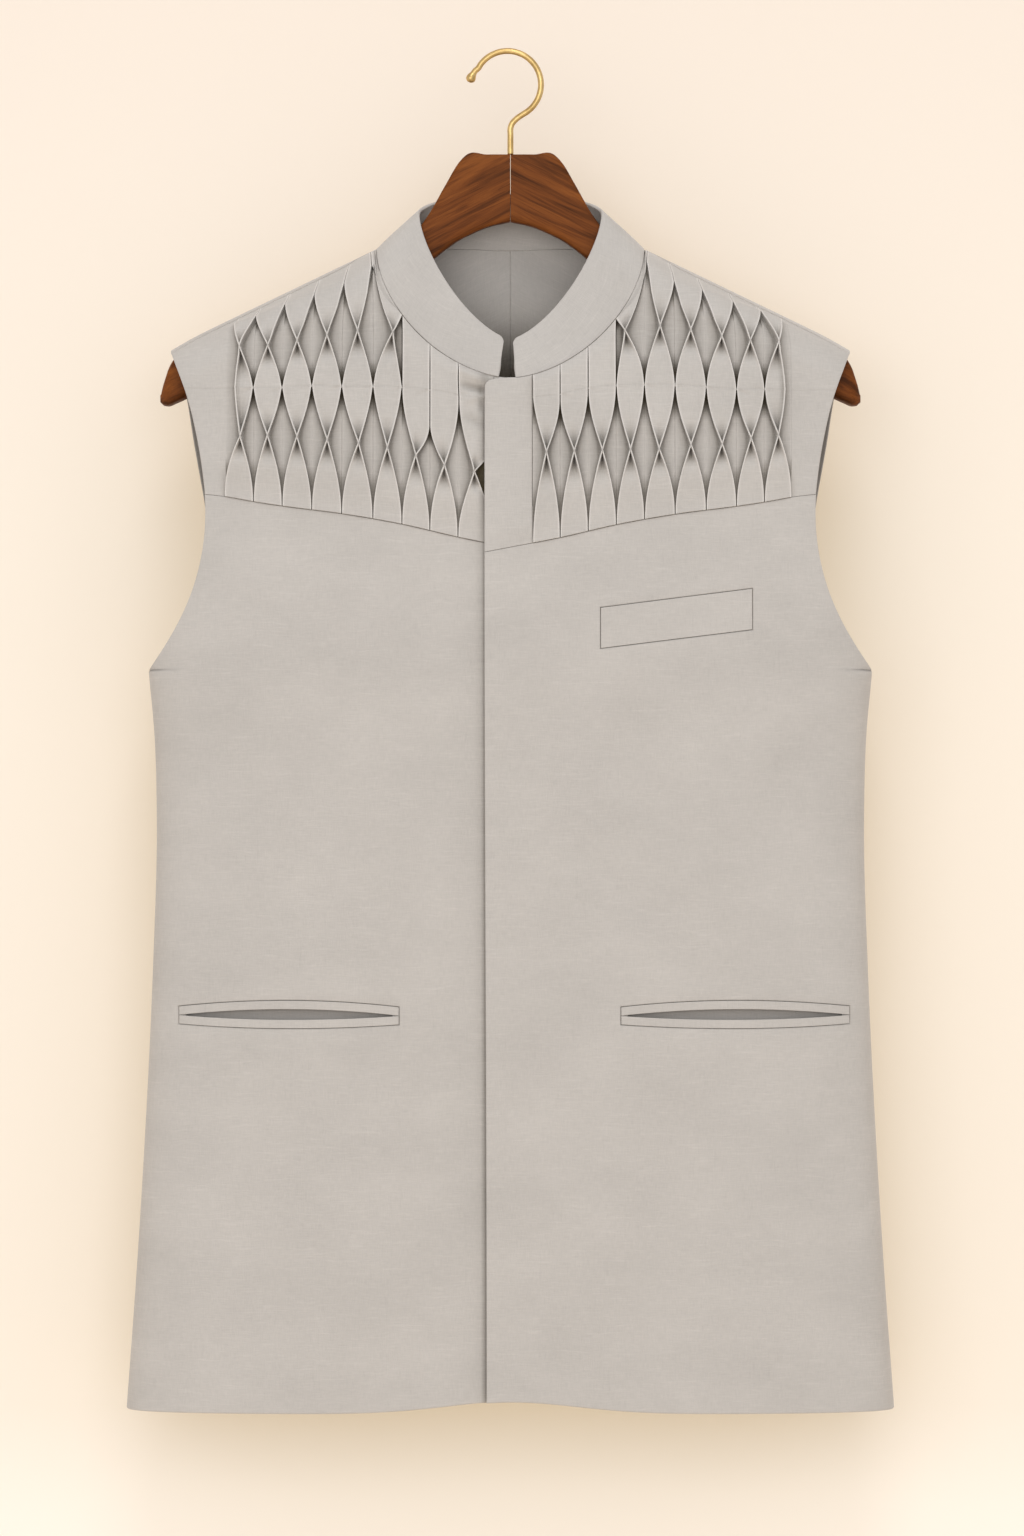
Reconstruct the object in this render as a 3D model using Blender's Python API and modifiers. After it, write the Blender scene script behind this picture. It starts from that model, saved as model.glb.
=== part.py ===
"""A sleeveless nehru jacket with a smocked yoke, hanging on a wooden suit hanger.

The origin is under the crown of the hook, where a rail carries it. +Z is up, the jacket faces -Y
and +X is the wearer's left. Sizes are in millimetres; meshes are made in metres.
"""
from math import pi

import bmesh
import bpy
import numpy as np
from mathutils import Vector

MM = 0.001

# Cloth
WALL = 2.0                # thickness of the cloth wall
SEAM = 0.35               # space left between two pieces at a seam
SHOULDER_SEAM = 0.3       # drop between the two edges at the shoulder seam
SIDE_SEAM = 0.4           # each side of the side seam, where the walls turn towards each other
FLATNESS = 3.5            # how flat the oval round the body is: 2 is an ellipse
DEPTH_SHARE = 0.24        # its depth over its half width, used to space the columns round it

# Body oval at each height
SECTIONS = [
    # z, half width, depth of the front, depth of the back
    (-860, 243.4, 54, 51),
    (-784, 237.8, 53, 49),
    (-683, 231.5, 52, 48),
    (-582, 226.7, 52, 47),
    (-486, 224.2, 53, 46),
    (-430, 225.8, 54, 46),
    (-392, 229.2, 55, 47),
    (-300, 229.2, 51, 45),
    (-205, 229.2, 40, 38),
    (-125, 229.2, 28, 27),
    (-80, 229.2, 23, 23),
]
HALF_WIDTH, FRONT_DEPTH, BACK_DEPTH = 1, 2, 3

# Shoulders
NECK_POINT = 85.0         # where the shoulder meets the collar, from the middle
NECK_POINT_Z = -124.0
SHOULDER_SLOPE = 0.482
SHOULDER_TIP = 215.3
SHOULDER_DROOP = 0.0024   # the tip droops by the square of the distance past this point
DROOP_FROM = 190.0
SHOULDER_ROLL = 28.0      # radius of the cloth's turn over the shoulder
FORWARD_SEAM = 3.4        # drop of the shoulder seam below the top line, in front
SEAM_RUN_IN = 25.0        # the seam leaves the top line over this width

# Neck and collar band
NECK_DROP = 84.0
NECK_ROUNDNESS = 1.75
BACK_NECK_Z = -122.6
BACK_NECK_BOW = 1.8       # the back neck seam bows up by this much on each side of the middle
COLLAR_WALL = 2.2
COLLAR_SIDE_SEAM = 1.0    # more space below the stiff band at the sides, where it leans in
COLLAR_CORNER = 5.0
COLLAR_TOP_HALF = 58.3    # the upper edge: half width, and its height at side, front and back
COLLAR_SIDE_Z = -100.0
COLLAR_FRONT_Z = -182.5
COLLAR_BACK_Z = -87.0
COLLAR_TOP_FRONT_Y = -30.0
COLLAR_TOP_BACK_Y = 17.0
COLLAR_ROUNDNESS = 1.47
COLLAR_BULGE = 1.0        # the band swells by this much half way up
SQUARER = 0.8             # a power that makes an ellipse a little squarer
COLLAR_ENDS = {-1: (7.3, 3.5), 1: (3.2, 1.0)}   # side: gap from the middle at the seam, at the top

# Armholes: height and distance from the middle of the front edge
ARMHOLE = [
    # z, x
    (-392.4, 229.2),
    (-378, 218.8),
    (-351, 203.8),
    (-321, 194.5),
    (-290, 191.9),
    (-266, 194.1),
    (-244, 197.9),
    (-220, 203.9),
    (-189.8, 215.3),
]
UNDERARM_Z = -392.4
BACK_ARMHOLE_OUT = 4.4    # the back edge lies this much further out, half way down

# Yoke seam and the pinch rows of the smocking
YOKE_SEAM = [
    # x, z
    (0, -315), (31, -309), (68, -300.5), (105, -294), (143, -289), (161, -286.2), (179, -282.9),
    (193, -281.3), (216, -280),
]
VALLEYS = {
    # side: distance of the ten hollows between the nine pleats from the middle
    -1: (10.0, 33.0, 50.5, 68.0, 86.2, 105.8, 124.6, 143.2, 161.2, 178.9),
    1: (14.0, 31.2, 48.8, 66.4, 84.1, 103.3, 122.8, 141.8, 159.4, 176.6),
}
TOP_PINCH = {
    # side: x, z
    -1: [(75, -180), (97, -179.2), (116, -182.0), (134, -185.3), (152, -188.2), (171, -189.5), (216, -206)],
    1: [(75, -179), (94, -176), (113, -178.3), (132, -182.3), (150, -185.1), (168, -186.6), (216, -204)],
}
TOUCH_ROW = {
    # side: x, z
    -1: [(13, -221), (33, -219), (51, -216), (69, -214.5), (106, -214.2), (125, -213.6), (143, -214.8),
         (161, -214.6), (216, -214)],
    1: [(13, -221), (31, -219), (49, -215), (66, -213.5), (84, -213), (103, -213.2), (123, -214.6),
        (142, -215.8), (160, -215.8), (216, -215)],
}
LOW_PINCH = {
    # side: x, z
    -1: [(13, -271), (23, -270), (42, -265), (59, -259.4), (77, -253), (97, -250), (115, -248),
         (134, -246), (152, -245.2), (170, -245.8), (216, -243)],
    1: [(13, -256), (42, -255), (77, -254), (94, -253.8), (113, -251.2), (132, -250.8), (150, -247.2),
        (168, -244.8), (216, -243)],
}
PLEATS = 9
FIRST_TWICE_PINCHED = 3   # pleats further in run straight from the neck to the touch row
UPPER_FROM = 65.0         # nearer the middle than this there are no upper pinches
NARROW, WIDE = 0.14, 0.86 # share of its room that a raised pleat covers, pinched and let out
FOOT = 0.45               # share of the hollow that a fold's flank takes
RIDGE_PINCHED, RIDGE_WIDE = 5.0, 3.6
CROWN_PINCHED, CROWN_WIDE = 3.2, 4.2
SEAM_HEIGHT = 1.3         # the pleats are stitched flatter at the shoulder and the yoke seam
STEPS = 4                 # rows of points from one pinch row to the next

# Closing of the fronts
LAP_EDGE = (-16.3, -14.9) # edge of the wearer's left front, at the yoke and at the hem
LAP_TOP_Z, LAP_LENGTH = -315.0, 540.0
UNDERLAP = 16.0           # the other front reaches this far past the middle, beneath
TUCK = 3.2                # it lies this much deeper there
TUCK_FROM, TUCK_TO = 17.0, 45.0
LAP_LIFT = 1.2            # the upper edge stands off a little
LAP_LIFT_WIDTH = 26.0
STRIP_INNER = 13.2        # the button strip on the yoke ends here
STRIP_TOP_Z = (-211.5, -208.8)

# Hem
HEM_Z = -858.5
HEM_RISE = 7.5            # the front hem rises to the middle
HEM_RISE_WIDTH = 60.0

# Pockets
WELT_GAP = 0.35
BACKING_GAP = 1.2         # behind the front, where both walls are faceted
CHEST_WELT = [
    # x, top z, bottom z
    (56.7, -353.0, -378.3),
    (151.6, -341.0, -366.5),
]
CHEST_WELT_WALL = 1.6
HIP_POCKET = {
    # side: inner end, outer end
    -1: (70.0, 208.5),
    1: (69.5, 213.5),
}
HIP_Z = -608.8
HIP_WELT = 5.4            # height of each lip
HIP_BOW_UP, HIP_BOW_DOWN = 4.0, 2.5
HIP_WELT_WALL = 1.3
HIP_CUT_HEIGHT = 7.0
HIP_CUT_SHORT = 5.0       # the cut ends this far inside the lips
HIP_CUT_RAISED = 0.7      # its middle lies above the pocket's, as the lips bow up more than down
HIP_CUTTER_Y, HIP_CUTTER_DEPTH = -50.0, 40.0
HIP_BACKING_HEIGHT = 20.0
HIP_BACKING_SHORT = 2.5   # the backing ends this far inside the lips
HIP_BACKING_WALL = 1.2

# Hanger
WOOD = [
    # x, top, bottom, half thickness
    (0.15, -64.0, -106.7, 6.5),
    (15, -64.0, -110.3, 6.5),
    (28, -64.3, -116.0, 6.5),
    (33, -69.5, -118.6, 6.5),
    (41, -83.0, -124.2, 6.5),
    (52, -102.2, -133.0, 6.5),
    (60, -112.6, -139.5, 6.6),
    (72, -122.4, -148.0, 7.4),
    (85, -128.6, -157.0, 8.6),
    (130, -149.4, -180.0, 10.5),
    (175, -171.0, -203.0, 12.5),
    (200, -183.2, -215.8, 13.5),
    (212, -192.4, -221.6, 13.0),
    (217, -201.0, -223.6, 11.5),
    (220, -210.0, -223.4, 9.0),
    (221.6, -216.5, -221.8, 6.0),
]
WOOD_SIDES = 16
WOOD_SQUARENESS = 4.0

# Hook
WIRE = 1.9                # radius of the wire
HOOK_X, HOOK_Z = -1.9, -19.4
HOOK_RADIUS = 21.3
HOOK_STEM_END = -63.65
HOOK_BEND_TOP = -47.5
HOOK_TIP = [
    # x, z, share of the wire's radius
    (-22.3, -10.6, 1.0),
    (-23.6, -12.6, 1.1),
    (-24.4, -14.0, 1.45),
    (-25.1, -15.4, 1.6),
    (-25.8, -16.8, 1.4),
    (-26.3, -17.8, 0.7),
]

COLOURS = {
    # material: colour, roughness, metallic
    "linen": ((0.56, 0.51, 0.46, 1), 0.9, 0.0),
    "walnut": ((0.17, 0.055, 0.018, 1), 0.35, 0.0),
    "brass": ((0.62, 0.42, 0.18, 1), 0.3, 1.0),
}


# ---- curves and surfaces -------------------------------------------------------------------------

def follow(table, at, column=1):
    """A smooth curve through one column of a table, read along its first column."""
    rows = np.array(sorted(table), float)
    x, y = rows[:, 0], rows[:, column]
    slope = np.gradient(y, x)
    at = np.asarray(at, float)
    i = np.clip(np.searchsorted(x, at) - 1, 0, len(x) - 2)
    step = x[i + 1] - x[i]
    t = np.clip((at - x[i]) / step, 0, 1)
    ends = y[i] * (1 + 2 * t) * (1 - t) ** 2 + y[i + 1] * t * t * (3 - 2 * t)
    return ends + step * (slope[i] * t * (1 - t) ** 2 - slope[i + 1] * t * t * (1 - t))


def ease(t):
    """0 to 1 with a soft start and end."""
    t = np.clip(t, 0, 1)
    return t * t * (3 - 2 * t)


def shoulder(x):
    """Height of the top line of the shoulder at x."""
    x = np.abs(x)
    droop = SHOULDER_DROOP * np.clip(x - DROOP_FROM, 0, None) ** 2
    return NECK_POINT_Z - SHOULDER_SLOPE * (x - NECK_POINT) - droop


def oval(x, z, side):
    """How far the cloth stands from the middle plane at x and z, before the shoulder's turn."""
    width = follow(SECTIONS, z, HALF_WIDTH)
    depth = follow(SECTIONS, z, FRONT_DEPTH if side < 0 else BACK_DEPTH)
    share = np.clip(np.abs(x) / width, 0, 1)
    return side * depth * (1 - share ** FLATNESS) ** (1 / FLATNESS)


def run_at(x, z):
    """Distance down the cloth from the shoulder's top line to height z."""
    drop = shoulder(x) - z
    turn = SHOULDER_ROLL * np.arccos(np.clip(1 - drop / SHOULDER_ROLL, 0, 1))
    return np.where(drop < SHOULDER_ROLL, turn, SHOULDER_ROLL * pi / 2 + drop - SHOULDER_ROLL)


def section(x, run, side):
    """Point of the cloth at x, so far down from the top line; below zero it is over the top."""
    angle = np.clip(run / SHOULDER_ROLL, -pi / 2, pi / 2)
    below = np.clip(np.abs(run) - SHOULDER_ROLL * pi / 2, 0, None)
    z = shoulder(x) - SHOULDER_ROLL * (1 - np.cos(angle)) - below
    return np.stack([x + 0 * z, oval(x, z, side) * np.sin(angle), z], axis=-1)


def neck(x):
    """Height of the front neck seam at x."""
    share = np.clip(np.abs(x) / NECK_POINT, 0, 1)
    return NECK_POINT_Z - NECK_DROP * (1 - share ** NECK_ROUNDNESS) ** (1 / NECK_ROUNDNESS)


def armhole(z, side):
    """Distance of the armhole's edge, and of the side seam below it, from the middle."""
    out = follow(ARMHOLE, np.clip(z, ARMHOLE[0][0], ARMHOLE[-1][0]))
    if side > 0:
        share = np.clip((z - UNDERARM_Z) / (ARMHOLE[-1][0] - UNDERARM_Z), 0, 1)
        out = out + BACK_ARMHOLE_OUT * np.sin(pi * share) ** 2
    return np.where(z < UNDERARM_Z, follow(SECTIONS, z, HALF_WIDTH), out)


def forward_seam(x):
    """Drop of the shoulder seam below the top line."""
    return FORWARD_SEAM * ease((np.abs(x) - NECK_POINT) / SEAM_RUN_IN)


def front_hem(x):
    return HEM_Z + HEM_RISE * np.exp(-(x / HEM_RISE_WIDTH) ** 2)


def closing(x, side):
    """How much the front is moved forward at the closing: the left front lies over the right."""
    if side > 0:
        return LAP_LIFT * ease(1 - (x - LAP_EDGE[0]) / LAP_LIFT_WIDTH)
    return -TUCK * ease(1 - (-x - TUCK_FROM) / (TUCK_TO - TUCK_FROM))


def spread(count):
    """Shares of the half width at even steps round the oval, from the middle to the side seam."""
    angle = np.linspace(0, pi / 2, 4001)
    x = np.sin(angle) ** (2 / FLATNESS)
    y = DEPTH_SHARE * np.cos(angle) ** (2 / FLATNESS)
    run = np.append(0, np.cumsum(np.hypot(np.diff(x), np.diff(y))))
    return np.interp(np.linspace(0, run[-1], count + 1), run, x)


def back_neck(x):
    """Height of the back neck seam, from the middle of the back to the neck point."""
    share = x / NECK_POINT
    level = BACK_NECK_Z + (NECK_POINT_Z - BACK_NECK_Z) * ease(share)
    return level + BACK_NECK_BOW * np.sin(pi * share) ** 2


def yoke_seam(x):
    """Height of the yoke seam at a distance from the middle; past the middle it goes on falling."""
    return np.where(x < 0, 2 * YOKE_SEAM[0][1], 0) + np.where(x < 0, -1, 1) * follow(YOKE_SEAM, np.abs(x))


def normals(grid):
    """Unit normals of a grid of points, on the side away from the body's upright axis."""
    normal = np.cross(np.gradient(grid, axis=1), np.gradient(grid, axis=0))
    normal /= np.linalg.norm(normal, axis=-1, keepdims=True)
    return normal * (1 if np.sum(normal * grid * [1, 1, 0]) > 0 else -1)


# ---- meshes --------------------------------------------------------------------------------------

def new_object(name, mesh, material):
    """An object in the jacket's collection, with its own material."""
    thing = bpy.data.objects.new(name, mesh)
    jacket.objects.link(thing)
    colour, roughness, metallic = COLOURS[material]
    finish = bpy.data.materials.new(name + "_finish")
    finish.use_nodes = True
    shader = finish.node_tree.nodes["Principled BSDF"]
    shader.inputs["Base Color"].default_value = colour
    shader.inputs["Roughness"].default_value = roughness
    shader.inputs["Metallic"].default_value = metallic
    thing.data.materials.append(finish)
    return thing


def grid_faces(rows, columns, start=0):
    """Quads of a grid whose points are numbered row by row."""
    first = start + np.arange(rows - 1)[:, None] * columns + np.arange(columns - 1)[None, :]
    return np.stack([first, first + 1, first + columns + 1, first + columns], -1).reshape(-1, 4)


def sheet(name, grid, wall):
    """A cloth wall: a grid of outer points, thickened towards the body's upright axis."""
    rows, columns = grid.shape[:2]
    mesh = bpy.data.meshes.new(name)
    faces = grid_faces(rows, columns)
    mesh.from_pydata((grid.reshape(-1, 3) * MM).tolist(), [], faces.tolist())
    mesh.update()
    if sum(p.area * p.normal.xy.dot(p.center.xy) for p in mesh.polygons) < 0:
        mesh.flip_normals()
    mesh.shade_smooth()
    thing = new_object(name, mesh, "linen")
    wall_modifier = thing.modifiers.new("Wall", "SOLIDIFY")
    wall_modifier.thickness = wall * MM
    wall_modifier.offset = -1
    wall_modifier.use_even_offset = True
    return thing


def zip_edges(one, two):
    """Triangles between two edges with unlike numbers of points."""
    faces = []
    i = j = 0
    while i < len(one) - 1 or j < len(two) - 1:
        next_one = (i + 1) / (len(one) - 1)
        next_two = (j + 1) / (len(two) - 1)
        if j == len(two) - 1 or (i < len(one) - 1 and next_one <= next_two):
            faces.append((one[i], one[i + 1], two[j]))
            i += 1
        else:
            faces.append((one[i], two[j + 1], two[j]))
            j += 1
    return faces


def edges_of(rows, columns, start=0):
    """The four edges of a grid, as point numbers."""
    number = start + np.arange(rows * columns).reshape(rows, columns)
    return [number[0].tolist(), number[-1].tolist(), number[:, 0].tolist(), number[:, -1].tolist()]


def relief_wall(name, outer, inner):
    """A wall between a fine outer grid and a plain coarse inner one, closed along its edges."""
    start = outer.shape[0] * outer.shape[1]
    faces = grid_faces(*outer.shape[:2]).tolist() + grid_faces(*inner.shape[:2], start).tolist()
    for one, two in zip(edges_of(*outer.shape[:2]), edges_of(*inner.shape[:2], start)):
        faces += zip_edges(one, two)
    points = np.concatenate([outer.reshape(-1, 3), inner.reshape(-1, 3)]) * MM
    mesh = bpy.data.meshes.new(name)
    mesh.from_pydata(points.tolist(), [], faces)
    shape = bmesh.new()
    shape.from_mesh(mesh)
    bmesh.ops.triangulate(shape, faces=shape.faces)
    bmesh.ops.recalc_face_normals(shape, faces=shape.faces)
    shape.to_mesh(mesh)
    shape.free()
    return new_object(name, mesh, "linen")


def on_front(x, z, lift):
    """Points on a front panel, moved out by lift."""
    side = 1 if np.mean(x) > 0 else -1
    grid = np.stack([x, oval(x, z, -1) - closing(x, side), z], axis=-1)
    return grid + normals(grid) * lift


# ---- fronts --------------------------------------------------------------------------------------

FRONT_COLUMNS = 14
FRONT_ROWS_TO_UNDERARM = 5
FRONT_ROWS_TO_HEM = 13


def front_grid(side):
    """Outer points of a lower front, from the closing edge to the armhole and side seam."""
    shares = spread(FRONT_COLUMNS)[None, :]
    down = np.concatenate([np.linspace(0, 1, FRONT_ROWS_TO_UNDERARM + 1),
                           np.linspace(1, 2, FRONT_ROWS_TO_HEM + 1)[1:]])[:, None]
    x = side * shares * 200 + 0 * down
    for _ in range(6):    # the rows depend on the armhole and the armhole on the rows
        top = yoke_seam(side * x) - SEAM
        z = np.where(down <= 1, top + (UNDERARM_Z - top) * down,
                     UNDERARM_Z + (front_hem(x) - UNDERARM_Z) * (down - 1))
        lap = LAP_EDGE[0] + (LAP_EDGE[1] - LAP_EDGE[0]) * ease((LAP_TOP_Z - z) / LAP_LENGTH)
        edge = lap if side > 0 else UNDERLAP
        x = edge + (side * armhole(z, -1) - edge) * shares
    y = np.minimum(oval(x, z, -1), -SIDE_SEAM) - closing(x, side)
    return np.stack([x, y, z], axis=-1)


def cut_pocket(panel, side):
    """Cut the slit of the hip pocket through a front."""
    inner, outer = HIP_POCKET[side]
    length = outer - inner - 2 * HIP_CUT_SHORT
    middle = Vector((side * (inner + outer) / 2, HIP_CUTTER_Y, HIP_Z + HIP_CUT_RAISED)) * MM
    bpy.ops.mesh.primitive_cube_add(size=1, location=middle)
    cutter = bpy.context.object
    cutter.name = panel.name + "_cutter"
    cutter.scale = Vector((length, HIP_CUTTER_DEPTH, HIP_CUT_HEIGHT)) * MM
    cutter.hide_render = True
    cutter.display_type = "WIRE"
    for home in list(cutter.users_collection):
        home.objects.unlink(cutter)
    cutters.objects.link(cutter)
    cut = panel.modifiers.new("Pocket slit", "BOOLEAN")
    cut.object = cutter


def make_front(name, side):
    panel = sheet(name, front_grid(side), WALL)
    cut_pocket(panel, side)


# ---- smocked yokes -------------------------------------------------------------------------------

def pleat_columns():
    """For each column: the pleat's number, which part of it, and on which side of its middle."""
    columns = []
    for pleat in range(PLEATS):
        for part in ("valley", "foot", "ridge", "crown", "ridge", "foot"):
            half = -1 if len(columns) % 6 < 3 else 1
            columns.append((pleat, part, half))
    columns.append((PLEATS, "valley", -1))
    return columns


def pinched(pleat, down):
    """0 where a pleat is let out, 1 where it is pinched; down counts the rows from the top."""
    wave = np.abs(((down + 1) % 2) - 1)
    return wave if pleat >= FIRST_TWICE_PINCHED else np.where(down < 2, 0, wave)


def yoke_rows(x, side):
    """Heights of the top edge, the two pinch rows, the touch row between, and the yoke seam."""
    away = np.abs(x)
    seam_top = shoulder(x) - forward_seam(x) - SHOULDER_SEAM
    neck_top = neck(away - 4 * SEAM) - SEAM + (0.6 * closing(-x, -1) if side < 0 else 0)
    top = np.where(away > NECK_POINT, seam_top, neck_top)
    clear = np.clip(away, VALLEYS[side][0], None)
    touch = follow(TOUCH_ROW[side], clear)
    first = follow(TOP_PINCH[side], np.clip(away, TOP_PINCH[side][0][0], None))
    first = np.where(away < UPPER_FROM, (top + touch) / 2, first)
    return [top, first, touch, follow(LOW_PINCH[side], clear), yoke_seam(x) + SEAM]


def yoke_grids(side):
    """Outer relief and plain inner points of a yoke."""
    down = np.linspace(0, 4, 4 * STEPS + 1)
    band = np.minimum(down.astype(int), 3)
    xs, lifts = [], []
    valleys = VALLEYS[side]
    for pleat, part, half in pleat_columns():
        near, far = valleys[min(pleat, PLEATS - 1)], valleys[min(pleat + 1, PLEATS)]
        middle, room = (near + far) / 2, (far - near) / 2
        if pleat == PLEATS:
            middle, half = far + room, -1
        pinch = ease(pinched(min(pleat, PLEATS - 1), down))
        width = WIDE + (NARROW - WIDE) * pinch
        place = {"valley": 1.0 + 0 * down, "foot": width + FOOT * (1 - width),
                 "ridge": width, "crown": 0 * down}[part]
        x = middle + half * place * room
        lift = {"valley": 0 * down, "foot": 0 * down,
                "ridge": RIDGE_WIDE + (RIDGE_PINCHED - RIDGE_WIDE) * pinch,
                "crown": CROWN_WIDE + (CROWN_PINCHED - CROWN_WIDE) * pinch}[part]
        free = ease(np.minimum(down, 4 - down) / 0.8)
        lift = np.minimum(lift, SEAM_HEIGHT + (lift - SEAM_HEIGHT) * free)
        xs.append(x)
        lifts.append(lift)
    inner_edge = STRIP_INNER + SEAM if side > 0 else -10.0
    xs.insert(0, inner_edge + 0 * down)
    lifts.insert(0, 0 * down)
    last = valleys[-1]
    for share in (0.35, 0.7, 1.0):
        xs.append(last + share * (SHOULDER_TIP - last) + 0 * down)
        lifts.append(0 * down)
    x = np.array(xs).T
    lift = np.array(lifts).T
    margin = np.clip((x - last) / (SHOULDER_TIP - last), 0, 1)
    for _ in range(6):    # the rows depend on the armhole and the armhole on the rows
        levels = np.array(yoke_rows(x, side))
        runs = run_at(x, levels)
        row = np.arange(len(down))[:, None]
        column = np.arange(x.shape[1])[None, :]
        start = runs[band[:, None], row, column]
        stop = runs[band[:, None] + 1, row, column]
        run = start + (stop - start) * (down - band)[:, None]
        z = section(x, run, -1)[..., 2]
        x = np.where(margin > 0, last + margin * (armhole(z, -1) - last), x)
    lift *= ease((x - 15) / 6) if side < 0 else 1
    base = section(side * x, run, -1)
    base[..., 1] -= closing(base[..., 0], side)
    normal = normals(base)
    outer = base + normal * lift[..., None]
    inner_columns = [0] + list(range(1, 6 * PLEATS + 2, 3)) + list(range(6 * PLEATS + 2, x.shape[1]))
    inner = (base - normal * WALL)[::2][:, inner_columns]
    return outer, inner


def make_strip():
    """The plain strip over the closing, at the height of the yoke."""
    x = np.linspace(LAP_EDGE[0], STRIP_INNER, 5)[None, :]
    top = np.where(x < COLLAR_ENDS[1][0], STRIP_TOP_Z[0] + (STRIP_TOP_Z[1] - STRIP_TOP_Z[0])
                   * (x - LAP_EDGE[0]) / (COLLAR_ENDS[1][0] - LAP_EDGE[0]), neck(x) - SEAM)
    bottom = yoke_seam(x) + SEAM
    z = top + (bottom - top) * np.linspace(0, 1, 9)[:, None]
    x = x + 0 * z
    grid = np.stack([x, oval(x, z, -1) - closing(x, 1), z], axis=-1)
    sheet("button_strip", grid, WALL)


# ---- backs ---------------------------------------------------------------------------------------

BACK_COLUMNS = 14
BACK_LEVEL_Z = -250.0
NECK_COLUMNS = (0.85, 0.95, 0.988, 1.06, 1.13)   # more columns beside the neck point
BACK_TOP_ROWS = [0, 0.045, 0.09, 0.135, 0.18, 0.25, 0.34, 0.48, 0.66, 0.83, 1]
BACK_ROWS = (4, 10)       # below: from the level line to the underarm, and on to the hem


def back_grid(side):
    """Outer points of half the back, from the shoulder seam or the neck to the hem."""
    shares = spread(BACK_COLUMNS)
    neck_share = NECK_POINT / SHOULDER_TIP
    shares[np.argmin(np.abs(shares - neck_share))] = neck_share
    shares = np.sort(np.append(shares, neck_share * np.array(NECK_COLUMNS)))[None, :]
    down = np.concatenate([BACK_TOP_ROWS, np.linspace(1, 2, BACK_ROWS[0] + 1)[1:],
                           np.linspace(2, 3, BACK_ROWS[1] + 1)[1:]])[:, None]
    x = shares * 200 + 0 * down
    for _ in range(8):    # the rows depend on the armhole and the armhole on the rows
        neck_run = run_at(x, back_neck(np.clip(x, 0, NECK_POINT)) - SEAM)
        seam_run = -run_at(x, shoulder(x) - forward_seam(x))
        top = np.where(x < NECK_POINT - 0.01, neck_run, seam_run)
        stop = run_at(x, BACK_LEVEL_Z)
        run = np.where(down <= 1, top + (stop - top) * down, stop)
        upper = section(x, run, 1)
        z = np.select([down <= 1, down <= 2],
                      [upper[..., 2], BACK_LEVEL_Z + (UNDERARM_Z - BACK_LEVEL_Z) * (down - 1)],
                      UNDERARM_Z + (HEM_Z - UNDERARM_Z) * (down - 2))
        x = np.maximum(SEAM / 2, shares * armhole(z, 1))
    y = np.where(down <= 1, upper[..., 1], oval(x, z, 1))
    y = np.where((down >= 2) & (shares == 1), SIDE_SEAM, y)
    return np.stack([side * x, y, z], axis=-1)


# ---- collar --------------------------------------------------------------------------------------

COLLAR_CORNER_STEPS = np.array([0, 0.12, 0.4, 1.0])
COLLAR_FRONT_STEPS, COLLAR_BACK_STEPS, COLLAR_ROWS = 15, 11, 4


def at_lengths(points, start, shares):
    """Points along a dense curve, at shares of its length from start to its end."""
    run = np.append(0, np.cumsum(np.linalg.norm(np.diff(points, axis=0), axis=1)))
    at = (start + (1 - start) * shares) * run[-1]
    return np.stack([np.interp(at, run, points[:, i]) for i in range(3)], axis=-1)


def collar_half(side):
    """Lower and upper edge of the band from its front end to the middle of the back."""
    angle = np.linspace(pi / 2, 0, 1500)
    x = NECK_POINT * np.cos(angle) ** (2 / NECK_ROUNDNESS)
    low_front = section(x, run_at(x, neck(x)), -1)
    x = NECK_POINT * np.cos(angle[::-1]) ** SQUARER
    low_back = section(x, run_at(x, back_neck(x)), 1)
    power = 2 / COLLAR_ROUNDNESS
    high_front = np.stack([COLLAR_TOP_HALF * np.cos(angle) ** power,
                           COLLAR_TOP_FRONT_Y * np.sin(angle) ** SQUARER,
                           COLLAR_SIDE_Z + (COLLAR_FRONT_Z - COLLAR_SIDE_Z) * np.sin(angle) ** power], -1)
    angle = angle[::-1]
    high_back = np.stack([COLLAR_TOP_HALF * np.cos(angle), COLLAR_TOP_BACK_Y * np.sin(angle) ** SQUARER,
                          COLLAR_SIDE_Z + (COLLAR_BACK_Z - COLLAR_SIDE_Z) * np.sin(angle)], -1)
    ends = []
    for curve, gap in ((low_front, COLLAR_ENDS[side][0]), (high_front, COLLAR_ENDS[side][1])):
        length = np.linalg.norm(np.diff(curve, axis=0), axis=1).sum()
        ends.append((curve, gap / length, length))
    corner = COLLAR_CORNER / ends[0][2]
    steps = np.concatenate([COLLAR_CORNER_STEPS * corner, np.linspace(corner, 1, COLLAR_FRONT_STEPS)[1:]])
    low = at_lengths(low_front, ends[0][1], steps)
    high = at_lengths(high_front, ends[1][1], steps)
    off = np.clip(1 - steps / corner, 0, 1)
    cut = COLLAR_CORNER * (1 - np.sqrt(1 - off ** 2))
    length = np.linalg.norm(high - low, axis=1)
    high = high + (low - high) * (cut / length)[:, None]
    back = np.linspace(0, 1, COLLAR_BACK_STEPS)
    low = np.concatenate([low, at_lengths(low_back, 0, back)[1:]])
    high = np.concatenate([high, at_lengths(high_back, 0, back)[1:]])
    gap = SEAM + COLLAR_SIDE_SEAM * (low[:, 0] / NECK_POINT) ** 2
    low = low + (high - low) * (gap / np.linalg.norm(high - low, axis=1))[:, None]
    return low * [side, 1, 1], high * [side, 1, 1]


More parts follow.
